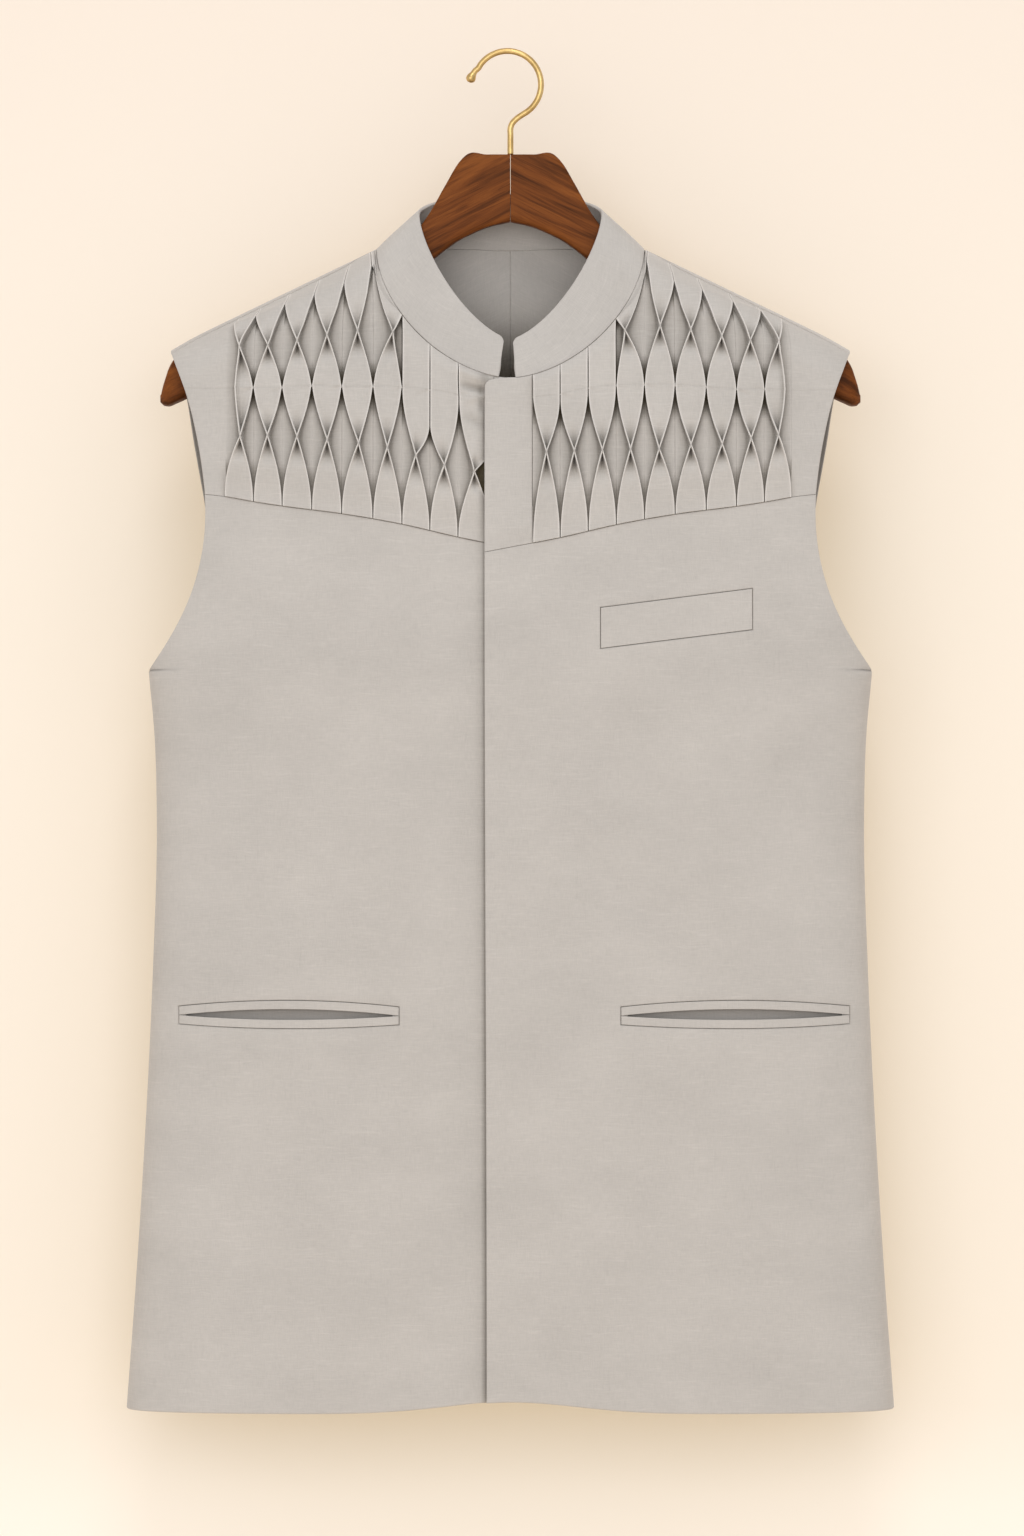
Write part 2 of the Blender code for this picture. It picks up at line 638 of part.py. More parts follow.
def make_collar():
    """One stiff band, from end to end round the neck."""
    right, left = collar_half(-1), collar_half(1)
    low = np.concatenate([right[0], left[0][::-1][1:]])
    high = np.concatenate([right[1], left[1][::-1][1:]])
    up = np.linspace(0, 1, COLLAR_ROWS)[:, None, None]
    grid = low + (high - low) * up
    away = grid * [1, 1, 0]
    away /= np.linalg.norm(away, axis=-1, keepdims=True)
    sheet("collar", grid + away * COLLAR_BULGE * np.sin(pi * up), COLLAR_WALL)


# ---- pockets -------------------------------------------------------------------------------------

def patch(name, x, top, bottom, lift, wall, columns, rows):
    """A flat piece of cloth that lies on a front."""
    across = np.linspace(0, 1, columns)[None, :]
    x = x[0] + (x[1] - x[0]) * across + np.zeros((rows, 1))
    top, bottom = top(across), bottom(across)
    z = top + (bottom - top) * np.linspace(0, 1, rows)[:, None]
    sheet(name, on_front(x, z, lift), wall)


def make_chest_welt():
    (x0, top0, low0), (x1, top1, low1) = CHEST_WELT
    patch("chest_welt", (x0, x1), lambda s: top0 + (top1 - top0) * s, lambda s: low0 + (low1 - low0) * s,
          CHEST_WELT_WALL + WELT_GAP, CHEST_WELT_WALL, 8, 3)


def make_hip_pocket(word, side):
    """Two bowed lips over the slit, and the cloth that shows inside it."""
    ends = [side * end for end in HIP_POCKET[side]]

    def bow(share):
        return 1 - (2 * share - 1) ** 2

    lift = HIP_WELT_WALL + WELT_GAP
    patch(word + "_pocket_upper_lip", ends, lambda s: HIP_Z + HIP_WELT + HIP_BOW_UP * bow(s),
          lambda s: HIP_Z + SEAM / 2 + HIP_BOW_UP * bow(s), lift, HIP_WELT_WALL, 13, 3)
    patch(word + "_pocket_lower_lip", ends, lambda s: HIP_Z - SEAM / 2 - HIP_BOW_DOWN * bow(s),
          lambda s: HIP_Z - HIP_WELT - HIP_BOW_DOWN * bow(s), lift, HIP_WELT_WALL, 13, 3)
    ends = [side * (HIP_POCKET[side][0] + HIP_BACKING_SHORT),
            side * (HIP_POCKET[side][1] - HIP_BACKING_SHORT)]
    patch(word + "_pocket_backing", ends, lambda s: HIP_Z + HIP_BACKING_HEIGHT / 2 + 0 * s,
          lambda s: HIP_Z - HIP_BACKING_HEIGHT / 2 + 0 * s, -(WALL + BACKING_GAP), HIP_BACKING_WALL, 12, 2)


# ---- hanger --------------------------------------------------------------------------------------

def make_wood(name, side):
    """Half of the hanger: rounded-square sections from the glued joint to the tip."""
    table = np.array(WOOD)
    angle = np.arange(WOOD_SIDES) * 2 * pi / WOOD_SIDES
    power = 2 / WOOD_SQUARENESS
    across = np.sign(np.cos(angle)) * np.abs(np.cos(angle)) ** power
    upward = np.sign(np.sin(angle)) * np.abs(np.sin(angle)) ** power
    middle = (table[:, 1] + table[:, 2]) / 2
    half = (table[:, 1] - table[:, 2]) / 2
    x = side * table[:, :1] + 0 * across
    y = table[:, 3:] * across
    z = middle[:, None] + half[:, None] * upward
    shape = bmesh.new()
    rings = [[shape.verts.new(point) for point in ring * MM] for ring in np.stack([x, y, z], axis=-1)]
    for one, two in zip(rings, rings[1:]):
        for i in range(WOOD_SIDES):
            j = (i + 1) % WOOD_SIDES
            shape.faces.new((one[i], one[j], two[j], two[i]))
    shape.faces.new(rings[0])
    shape.faces.new(rings[-1])
    bmesh.ops.recalc_face_normals(shape, faces=shape.faces)
    mesh = bpy.data.meshes.new(name)
    shape.to_mesh(mesh)
    shape.free()
    mesh.shade_smooth()
    new_object(name, mesh, "walnut")


def hook_path():
    """Middle line of the wire: stem, bend, round crown, and the tip that opens out."""
    path = [(0, HOOK_STEM_END, 1), (0, -55.0, 1), (0, HOOK_BEND_TOP, 1), (1.1, -44.2, 1), (3.6, -41.4, 1)]
    for angle in np.radians(np.arange(-62, 152, 9.7)):
        path.append((HOOK_X + HOOK_RADIUS * np.cos(angle), HOOK_Z + HOOK_RADIUS * np.sin(angle), 1))
    return path + HOOK_TIP


def make_hook():
    curve = bpy.data.curves.new("hook", "CURVE")
    curve.dimensions = "3D"
    curve.bevel_depth = WIRE * MM
    curve.bevel_resolution = 2
    curve.use_fill_caps = True
    path = hook_path()
    wire = curve.splines.new("POLY")
    wire.points.add(len(path) - 1)
    for point, (x, z, share) in zip(wire.points, path):
        point.co = (x * MM, 0, z * MM, 1)
        point.radius = share
    new_object("hook", curve, "brass")


# ---- build ---------------------------------------------------------------------------------------

for old in list(bpy.data.objects):
    bpy.data.objects.remove(old, do_unlink=True)

jacket = bpy.data.collections.new("Nehru jacket on hanger")
cutters = bpy.data.collections.new("Cutters")
bpy.context.scene.collection.children.link(jacket)
bpy.context.scene.collection.children.link(cutters)

make_front("front_left", 1)
make_front("front_right", -1)
relief_wall("yoke_left", *yoke_grids(1))
relief_wall("yoke_right", *yoke_grids(-1))
make_strip()
sheet("back_left", back_grid(1), WALL)
sheet("back_right", back_grid(-1), WALL)
make_collar()
make_chest_welt()
make_hip_pocket("left", 1)
make_hip_pocket("right", -1)
make_wood("hanger_left", 1)
make_wood("hanger_right", -1)
make_hook()
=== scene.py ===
"""The looks of a sleeveless linen jacket with a smocked yoke, on a wooden hanger with a brass hook.

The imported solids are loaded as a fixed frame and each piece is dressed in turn, in the order in
which the jacket is put together. The origin is under the crown of the hook, +Z is up, the jacket
faces -Y and +X is the wearer's left. Sizes are in millimetres; meshes are made in metres.
"""
from math import pi, radians

import bmesh
import bpy
import numpy as np
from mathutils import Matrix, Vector


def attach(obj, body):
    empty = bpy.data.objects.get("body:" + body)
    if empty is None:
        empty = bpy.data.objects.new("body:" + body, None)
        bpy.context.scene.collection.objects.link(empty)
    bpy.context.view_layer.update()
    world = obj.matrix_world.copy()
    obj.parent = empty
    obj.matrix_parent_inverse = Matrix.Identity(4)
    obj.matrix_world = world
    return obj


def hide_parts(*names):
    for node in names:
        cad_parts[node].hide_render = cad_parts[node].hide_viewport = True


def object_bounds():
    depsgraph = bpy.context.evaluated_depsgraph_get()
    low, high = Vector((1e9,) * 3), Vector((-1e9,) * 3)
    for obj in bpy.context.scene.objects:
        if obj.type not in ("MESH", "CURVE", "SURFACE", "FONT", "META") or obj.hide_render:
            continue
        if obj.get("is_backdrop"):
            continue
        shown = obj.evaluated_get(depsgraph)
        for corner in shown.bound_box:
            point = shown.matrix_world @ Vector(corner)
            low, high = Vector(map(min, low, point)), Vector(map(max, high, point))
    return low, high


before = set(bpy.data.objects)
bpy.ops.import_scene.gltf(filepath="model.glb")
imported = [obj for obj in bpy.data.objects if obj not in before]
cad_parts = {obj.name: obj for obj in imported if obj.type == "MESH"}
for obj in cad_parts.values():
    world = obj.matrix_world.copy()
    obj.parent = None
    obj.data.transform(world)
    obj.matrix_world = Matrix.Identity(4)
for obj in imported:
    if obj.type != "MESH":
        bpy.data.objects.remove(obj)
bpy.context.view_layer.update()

MM = 0.001
SIDES = (("left", 1), ("right", -1))   # the wearer's own

# ---- Room ----------------------------------------------------------------------------------------
# A cream painted sheet that runs from the pale floor up behind the jacket, a hand's width away, so
# that the hem throws a soft shadow on it. It also gives off painted light of its own, most at its
# foot. Seen from behind it is left out of the picture.

WALL_Y = 0.074
FLOOR_Z = -1.9
FLOOR_FRONT = -3.5
BEND, BEND_STEPS = 0.35, 24
ROOM_HALF = 3.0
ROOM_TOP = 2.2
PAINT = (0.611, 0.570, 0.543, 1)
WALL_PAINTED_GLOW = [
    # height, and the painted light that the panel gives off itself, an emission that is most at its foot
    (-0.98, (0.340, 0.270, 0.170)), (-0.93, (0.315, 0.246, 0.140)), (-0.865, (0.250, 0.175, 0.060)),
    (-0.30, (0.250, 0.175, 0.060)), (0.04, (0.195, 0.110, 0.005)),
]
SKY, SKY_STRENGTH = (0.92, 0.97, 1.04, 1), 0.93
LAMPS = [
    # name, place, width, height, power
    ("key", (-0.6, -5.5, 0.5), 5.6, 2.8, 98),
    ("top", (0.2, -3.6, 4.0), 2.4, 2.0, 69),
    ("back", (0.4, 2.6, 0.9), 2.0, 2.0, 22),
]
LAMPS_FACE = Vector((0, 0, -0.43))
CAMERA = (0.001, -4.0, -0.4534)
PICTURE_HEIGHT = 0.9754
SENSOR = 36


def put(name, data):
    """A new object with this mesh, lamp or camera, in the scene."""
    thing = bpy.data.objects.new(name, data)
    bpy.context.scene.collection.objects.link(thing)
    return thing


def mesh_piece(name, points, faces):
    """An object with a smooth mesh of points in metres and of faces."""
    mesh = bpy.data.meshes.new(name)
    mesh.from_pydata(points.tolist(), [], faces)
    mesh.shade_smooth()
    return put(name, mesh)


def feed(node, inputs):
    """Give a node's inputs a number, a colour or another node's output each."""
    for key, value in inputs.items():
        if isinstance(value, bpy.types.NodeSocket):
            node.id_data.links.new(value, node.inputs[key])
        else:
            node.inputs[key].default_value = value


def new_material(name):
    """A material, its surface shader, and a short way to add a node with its settings and inputs."""
    material = bpy.data.materials.new(name)
    material.use_nodes = True

    def add(kind, inputs=(), **settings):
        node = material.node_tree.nodes.new("ShaderNode" + kind)
        for key, value in settings.items():
            setattr(node, key, value)
        feed(node, dict(inputs))
        return node

    return material, material.node_tree.nodes["Principled BSDF"], add


def colour_ramp(add, value, stops):
    """Colour over a value from 0 to 1, from stops that are a place and a colour each."""
    node = add("ValToRGB", {"Fac": value})
    marks = node.color_ramp.elements
    marks.remove(marks[1])
    for i, (at, colour) in enumerate(stops):
        mark = marks.new(at) if i else marks[0]
        mark.position = at
        mark.color = (*colour, 1)
    return node.outputs["Color"]


def room_paint():
    """Matt cream paint that gives off painted light by height, and that can't be seen from behind."""
    material, shader, add = new_material("cream_paint_painted_glow")
    low, high = WALL_PAINTED_GLOW[0][0], WALL_PAINTED_GLOW[-1][0]
    height = add("SeparateXYZ", {0: add("TexCoord").outputs["Object"]}).outputs["Z"]
    share = add("MapRange", {"Value": height, "From Min": low, "From Max": high}).outputs[0]
    painted_glow = colour_ramp(add, share, [((level - low) / (high - low), colour) for level, colour in WALL_PAINTED_GLOW])
    feed(shader, {"Base Color": PAINT, "Roughness": 1.0, "Specular IOR Level": 0.0,
                  "Emission Color": painted_glow, "Emission Strength": 1.0})
    behind = add("NewGeometry").outputs["Backfacing"]
    clear = add("BsdfTransparent").outputs["BSDF"]
    choice = add("MixShader", {"Fac": behind, 1: shader.outputs["BSDF"], 2: clear})
    feed(material.node_tree.nodes["Material Output"], {"Surface": choice.outputs["Shader"]})
    return material


turn = np.linspace(0, pi / 2, BEND_STEPS)
room_y = np.concatenate([[FLOOR_FRONT], WALL_Y - BEND + BEND * np.sin(turn), [WALL_Y]])
room_z = np.concatenate([[FLOOR_Z], FLOOR_Z + BEND * (1 - np.cos(turn)), [ROOM_TOP]])
room_points = [(x, y, z) for y, z in zip(room_y, room_z) for x in (-ROOM_HALF, ROOM_HALF)]
room_faces = [(i, i + 1, i + 3, i + 2) for i in range(0, 2 * len(room_y) - 2, 2)]
room = mesh_piece("room", np.array(room_points), room_faces)
room.data.materials.append(room_paint())
room.visible_shadow = False
room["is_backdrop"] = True

world = bpy.data.worlds.new("studio")
world.use_nodes = True
feed(world.node_tree.nodes["Background"], {"Color": SKY, "Strength": SKY_STRENGTH})
bpy.context.scene.world = world

for name, place, width, height, power in LAMPS:
    lamp = bpy.data.lights.new(name, "AREA")
    lamp.shape = "RECTANGLE"
    lamp.size, lamp.size_y = width, height
    lamp.energy = power
    light = put(name, lamp)
    light.location = place
    light.rotation_euler = (LAMPS_FACE - Vector(place)).to_track_quat("-Z", "Y").to_euler()

lens = bpy.data.cameras.new("camera")
lens.sensor_width = SENSOR
lens.lens = SENSOR * -CAMERA[1] / PICTURE_HEIGHT
camera = put("camera", lens)
camera.location = CAMERA
camera.rotation_euler = (pi / 2, 0, 0)
bpy.context.scene.camera = camera
bpy.context.scene.view_settings.view_transform = "Standard"

# ---- Lower fronts --------------------------------------------------------------------------------
# Two panels of linen from the yoke seam to the hem, with turned edges. The wearer's left one laps
# over the right one. Each hangs as half of a flat oval and is let in where a pocket is sewn.

WALL = 2.0                # cloth, facing and turnings together
SEAM = 0.11               # a sewn seam's dark line, on each side of it
FLATNESS = 3.5            # how flat the oval round the body is: 2 is an ellipse
EDGE_ROUND = 0.85         # radius of a free turned edge
SEAM_ROUND = 0.3          # radius of an edge that is sewn to its neighbour
EDGE_STEPS = np.array([0, 0.07, 0.22, 0.5, 0.85, 1.3])   # rows and columns lie so far from an edge

SECTIONS = [
    # z, half width, depth of the front, depth of the back
    (-860, 243.4, 54, 51),
    (-784, 237.8, 53, 49),
    (-683, 231.5, 52, 48),
    (-582, 226.7, 52, 47),
    (-486, 224.2, 53, 46),
    (-430, 225.8, 54, 46),
    (-392, 229.2, 55, 47),
    (-300, 229.2, 51, 45),
    (-205, 229.2, 40, 38),
    (-125, 229.2, 28, 27),
    (-80, 229.2, 23, 23),
]
HALF_WIDTH, FRONT_DEPTH, BACK_DEPTH = 1, 2, 3
ARMHOLE = [
    # z, x
    (-392.4, 229.2),
    (-378, 218.8),
    (-351, 203.8),
    (-321, 194.5),
    (-290, 191.9),
    (-266, 194.1),
    (-244, 197.9),
    (-220, 203.9),
    (-189.8, 215.3),
]
UNDERARM_Z = ARMHOLE[0][0]
BACK_ARMHOLE_OUT = 5.2    # the back's edge of the armhole shows outside the front's
YOKE_SEAM = [
    # x, z
    (0, -315), (31, -309), (68, -300.5), (105, -294), (143, -289), (161, -286.2), (179, -282.9),
    (193, -281.3), (216, -280),
]
LAP_EDGE = (-16.3, -14.9) # edge of the wearer's left front, at the yoke and at the hem
LAP_RUN = 540.0           # and the height between them
UNDERLAP = 16.0           # the right front runs so far in under it
TUCK, TUCK_FROM, TUCK_TO = 3.2, 17.0, 45.0   # and is eased in so much, between these distances
LAP_LIFT, LAP_LIFT_WIDTH = 1.2, 26.0      # while the left one is eased out
HEM_Z = -858.5
HEM_RISE, HEM_RISE_WIDTH = 7.5, 60.0      # the hem hangs higher at the closing
CHEST_WELT = ((56.7, -353.0, -378.3), (151.6, -341.0, -366.5))   # x, top and bottom of each end
HIP_POCKET = {-1: (70.0, 208.5), 1: (69.5, 213.5)}               # inner and outer end
HIP_Z = -608.8
HIP_WELT = 5.4            # half the pocket's height at its ends
HIP_BOW_UP, HIP_BOW_DOWN = 4.0, 2.5
SLIT_HALF = 1.2           # the cut through the front, behind the lips
SLIT_SHORT = 4.0          # ends so far inside them
LET_IN = 1.35             # depth of the bed that a welt or lip lies in
BED_GAP = 0.3
BED_STEPS = np.array([1.1, 0.6, 0.36, 0.3])   # rows and columns round a bed lie so far outside it
BED_MARGIN = 0.03         # the outline row itself belongs to the bed
BED_DIP, BED_DIP_WIDTH = 0.25, 0.7   # the front sinks a little towards a bed
OUTLINE_PAINTED_SHADE, OUTLINE_WIDTH = 0.9, 0.45   # painted shade along the stitched edge of a bed
CLOSING_PAINTED_SHADE, CLOSING_SHADE = 1.9, 1.1    # and painted shade on the right front beside the lap

FRONT_FOLDS = {
    # side: from x, z to x, z, width, depth; troughs are negative
    -1: [(-122, -350, -116, -560, 26, -0.7), (-70, -420, -62, -640, 20, 0.5),
         (-196, -420, -150, -500, 14, -0.6), (-160, -640, -168, -840, 24, -0.6),
         (-100, -660, -96, -850, 18, 0.5), (-212, -560, -205, -780, 12, 0.5),
         (-45, -690, -40, -850, 14, -0.4), (-185, -310, -150, -352, 10, 0.4)],
    1: [(74, -392, 80, -560, 22, -0.8), (19, -486, 112, -566, 8, -0.35),
        (42, -452, 150, -560, 11, 0.3), (120, -420, 128, -580, 20, 0.5),
        (190, -420, 150, -520, 14, -0.6), (102, -650, 96, -845, 22, -0.7),
        (160, -650, 170, -840, 18, 0.5), (52, -660, 48, -850, 15, 0.4),
        (208, -640, 214, -820, 12, -0.5)],
}


def follow(table, at, column=1):
    """A smooth curve through one column of a table, read along its first column: on each stretch the
    Hermite cubic of the two ends and of the slopes between their neighbours."""
    rows = np.array(table, float)
    rows = rows[np.argsort(rows[:, 0])]
    x, y = rows[:, 0], rows[:, column]
    slope = np.gradient(y, x)
    at = np.asarray(at, float)
    i = np.clip(np.searchsorted(x, at) - 1, 0, len(x) - 2)
    step = x[i + 1] - x[i]
    t = np.clip((at - x[i]) / step, 0, 1)
    ends = y[i] * (1 + 2 * t) * (1 - t) ** 2 + y[i + 1] * t * t * (3 - 2 * t)
    return ends + step * (slope[i] * t * (1 - t) ** 2 - slope[i + 1] * t * t * (1 - t))


def ease(t):
    """0 to 1 with a soft start and end: three times the square less twice the cube."""
    t = np.clip(t, 0, 1)
    return t * t * (3 - 2 * t)


def oval(x, z, side):
    """Depth of the cloth at x and z, on the superellipse whose half axes are the section's half width
    and its depth on that side."""
    width = follow(SECTIONS, z, HALF_WIDTH)
    depth = follow(SECTIONS, z, FRONT_DEPTH if side < 0 else BACK_DEPTH)
    share = np.clip(np.abs(x) / width, 0, 1)
    return side * depth * (1 - share ** FLATNESS) ** (1 / FLATNESS)


def armhole(z, side):
    """Distance of the armhole's edge, and of the side seam below it, from the middle; the back edge
    swells out by a squared sine, most in its upper half."""
    out = follow(ARMHOLE, np.clip(z, ARMHOLE[0][0], ARMHOLE[-1][0]))
    if side > 0:
        share = np.clip((z - UNDERARM_Z) / (ARMHOLE[-1][0] - UNDERARM_Z), 0, 1)
        out = out + BACK_ARMHOLE_OUT * np.sin(pi * share ** 1.8) ** 2
    return np.where(z < UNDERARM_Z, follow(SECTIONS, z, HALF_WIDTH), out)


def closing(x, side):
    """How much a front is moved forward at the closing: the left front is eased out over the right,
    and the right front is eased in beneath it."""
    if side > 0:
        return LAP_LIFT * ease(1 - (x - LAP_EDGE[0]) / LAP_LIFT_WIDTH)
    return -TUCK * ease(1 - (-x - TUCK_FROM) / (TUCK_TO - TUCK_FROM))


def folds(x, z, table):
    """Soft creases: each row of the table is a straight line with a Gaussian profile across it, which
    fades by a sine towards both ends."""
    lift = 0 * x
    for x0, z0, x1, z1, width, depth in table:
        run = np.hypot(x1 - x0, z1 - z0)
        along = ((x - x0) * (x1 - x0) + (z - z0) * (z1 - z0)) / run
        across = ((x - x0) * (z1 - z0) - (z - z0) * (x1 - x0)) / run
        fade = np.sin(pi * np.clip(along / run, 0, 1)) ** 0.7
        lift = lift + depth * fade * np.exp(-(across / width) ** 2)
    return lift


def unit(vectors):
    """Vectors of the same directions that are 1 long."""
    return vectors / np.maximum(np.linalg.norm(vectors, axis=-1, keepdims=True), 1e-9)


def normals(grid, away):
    """Unit normals of a grid of points: the cross product of its two tangents, turned to face away."""
    normal = unit(np.cross(np.gradient(grid, axis=1), np.gradient(grid, axis=0)))
    return normal * (1 if np.sum(normal * away) > 0 else -1)


def rolled(step, radius):
    """How far a turned edge is drawn in, so far from it: a quarter circle of that radius."""
    near = np.clip(1 - np.abs(step) / radius, 0, 1)
    return radius * (1 - np.sqrt(1 - near ** 2))


def edge_rolls(count, first, last):
    """How far each of so many rows or columns is drawn in, with the edge steps at both ends; first
    and last are the two edges' radii."""
    roll = np.zeros(count)
    roll[:len(EDGE_STEPS)] = rolled(EDGE_STEPS, first)
    roll[-len(EDGE_STEPS):] = rolled(EDGE_STEPS[::-1], last)
    return roll


def turned(count, first=EDGE_ROUND, last=EDGE_ROUND):
    """Even shares of a width with extra steps beside both edges: the share, the step from the edge in
    millimetres, and how far the edge is drawn in there."""
    inside = np.linspace(0, 1, count)[1:-1]
    share = np.concatenate([0 * EDGE_STEPS, inside, 0 * EDGE_STEPS + 1])
    step = np.concatenate([EDGE_STEPS, 0 * inside, -EDGE_STEPS[::-1]])
    return share, step, edge_rolls(len(share), first, last)


def beside(edge, distance, z, side):
    """x of points at a distance from the edge of a panel, measured straight across the oval's turn;
    found by halving."""
    near, far = edge + 0 * distance, edge - distance
    for _ in range(22):
        middle = (near + far) / 2
        beyond = np.hypot(edge - middle, oval(middle, z, side) - oval(edge, z, side)) > distance
        near, far = np.where(beyond, near, middle), np.where(beyond, middle, far)
    return (near + far) / 2


def across(x, edge, z, side):
    """Distance straight across from x to the innermost of the steps beside the edge."""
    return np.hypot(edge - x, oval(x, z, side) - oval(edge, z, side)) - EDGE_STEPS[-1]


def round_the_turn(fixed, edge, spread, z, side):
    """x of the columns between a fixed one and the edge: shares of the way, then the edge's steps."""
    steps = EDGE_STEPS[-1] + spread * across(fixed, edge, z, side)
    return beside(edge, np.concatenate([steps, EDGE_STEPS[::-1] + 0 * edge], axis=1), z, side)


def quads(numbers):
    """Corners of the cells of a grid, or of a stack of grids, from the numbers of its points."""
    return np.stack([numbers[..., :-1, :-1], numbers[..., :-1, 1:], numbers[..., 1:, 1:],
                     numbers[..., 1:, :-1]], -1)


def rim(outer, inner, kept):
    """Triangles between an edge of the outer grid and the matching edge of the inner one, which has
    only the kept points: each outer step joins the last kept point before it."""
    at = np.searchsorted(kept, np.arange(len(outer)), side="right") - 1
    one, two = inner[at[:-1]], inner[at[1:]]
    fans = np.stack([outer[:-1], outer[1:], one], -1)
    fills = np.stack([outer[1:], two, one], -1)[one != two]
    return np.concatenate([fans, fills])


def face_outward(mesh):
    """Turn the faces of a closed mesh outward, and drop the points that no face uses."""
    shape = bmesh.new()
    shape.from_mesh(mesh)
    bmesh.ops.recalc_face_normals(shape, faces=shape.faces)
    bmesh.ops.delete(shape, geom=[v for v in shape.verts if not v.link_faces], context="VERTS")
    shape.to_mesh(mesh)
    shape.free()


def cloth(name, base, normal, rolls, flat, wall=WALL, lift=0, thin=1, painted_light=None, inner_painted_shade=None, hole=None):
    """A closed wall of cloth. The outer side is the base moved out along its normals by the lift, and
    the inner side is the base moved in by the wall; rolls, of the rows and of the columns, draw both
    together at the turned edges. flat is the place in the flat cloth, in millimetres, thin keeps
    every so many rows and columns of the inner side, the two tones after thin are the painted light,
    highlights and shade, of the outer side and the painted shade of the inner side, and hole is a
    stretch of rows and columns cut out."""
    rows, columns = base.shape[:2]
    roll = np.maximum(rolls[0][:, None], rolls[1][None, :]) * wall / WALL
    outer = base + normal * (lift - roll)[..., None]
    inner = base + normal * (roll - wall)[..., None]
    kept_rows = np.unique(np.append(np.arange(0, rows, thin), rows - 1))
    kept_columns = np.unique(np.append(np.arange(0, columns, thin), columns - 1))
    pick = np.ix_(kept_rows, kept_columns)
    points = np.concatenate([outer.reshape(-1, 3), inner[pick].reshape(-1, 3)]) * MM
    outside = np.arange(rows * columns).reshape(rows, columns)
    inside = rows * columns + np.arange(pick[0].size * pick[1].size).reshape(pick[0].size, pick[1].size)
    strips = [(outside[0], inside[0], kept_columns), (outside[-1], inside[-1], kept_columns),
              (outside[:, 0], inside[:, 0], kept_rows), (outside[:, -1], inside[:, -1], kept_rows)]
    stay = np.ones((rows, columns), bool)
    cells = [quads(outside), quads(inside)]
    whole = [np.ones(skin.shape[:2], bool) for skin in cells]
    if hole:
        r0, r1, c0, c1 = hole
        stay[r0 + 1:r1, c0 + 1:c1] = False
        for left in whole:
            left[r0:r1, c0:c1] = False
        along, down = np.arange(c1 - c0 + 1), np.arange(r1 - r0 + 1)
        strips += [(outside[r, c0:c1 + 1], inside[r, c0:c1 + 1], along) for r in (r0, r1)]
        strips += [(outside[r0:r1 + 1, c], inside[r0:r1 + 1, c], down) for c in (c0, c1)]
    faces = []
    for skin, left in zip(cells, whole):
        faces += skin[left].tolist()
    for one, two, kept in strips:
        faces += rim(one, two, kept).tolist()
    piece = mesh_piece(name, points, faces)
    mesh = piece.data
    face_outward(mesh)
    # painted light of the outer side and painted shade of the inner side, as a point attribute
    if painted_light is not None:
        inner_painted_shade = 0 * painted_light if inner_painted_shade is None else inner_painted_shade
        both = np.concatenate([painted_light.reshape(-1), inner_painted_shade[pick].reshape(-1)])
        mesh.attributes.new("painted_light", "FLOAT", "POINT").data.foreach_set("value", both.astype("f"))
    uv = np.stack(np.broadcast_arrays(*flat), -1) * MM
    place = np.concatenate([uv[stay], uv[pick][stay[pick]]])
    corner = np.empty(len(mesh.loops), int)
    mesh.loops.foreach_get("vertex_index", corner)
    mesh.uv_layers.new(name="cloth").data.foreach_set("uv", place[corner].astype("f").reshape(-1))
    return piece


def threads(add, place, scale, detail, roughness, distortion=0.0):
    """Noise stretched so that its grains are threads or fibres: scale is waves per metre each way."""
    stretched = add("Mapping", {"Vector": place, "Scale": scale}).outputs["Vector"]
    return add("TexNoise", {"Vector": stretched, "Scale": 1.0, "Detail": detail, "Roughness": roughness,
                            "Distortion": distortion}).outputs["Fac"]


def multiply(add, one, two):
    """The product of two colours."""
    mixed = add("Mix", {"Factor": 1.0, 6: one, 7: two}, data_type="RGBA", blend_type="MULTIPLY")
    return mixed.outputs[2]


WEAVE = [
    # waves per metre along x and z, detail, amount in the tone, and what part of the noise counts
    ((150, 1500, 1), 2.0, 0.20, (0.0, 1.0)),     # weft
    ((1500, 170, 1), 2.0, 0.17, (0.0, 1.0)),     # warp
    ((38, 620, 1), 1.0, 0.050, (0.56, 0.74)),    # slubs
    ((520, 45, 1), 1.0, -0.030, (0.58, 0.78)),   # dark threads
]
DYE, DYE_AMOUNT = (14, 20, 1), 0.24
WANDER, WANDER_WAVES = 0.004, 45.0
# the tone's middle, and the least that painted shade may take it down to
TONE_MIDDLE, TONE_LEAST = 0.70, 0.14
# how far the painted light, highlights and shade, moves the tone
PAINTED_LIGHT_TONE = 0.28
WARMTH = (0.006, 0.018)   # painted shade in creases loses less red than green and blue, and painted highlights gain a little blue
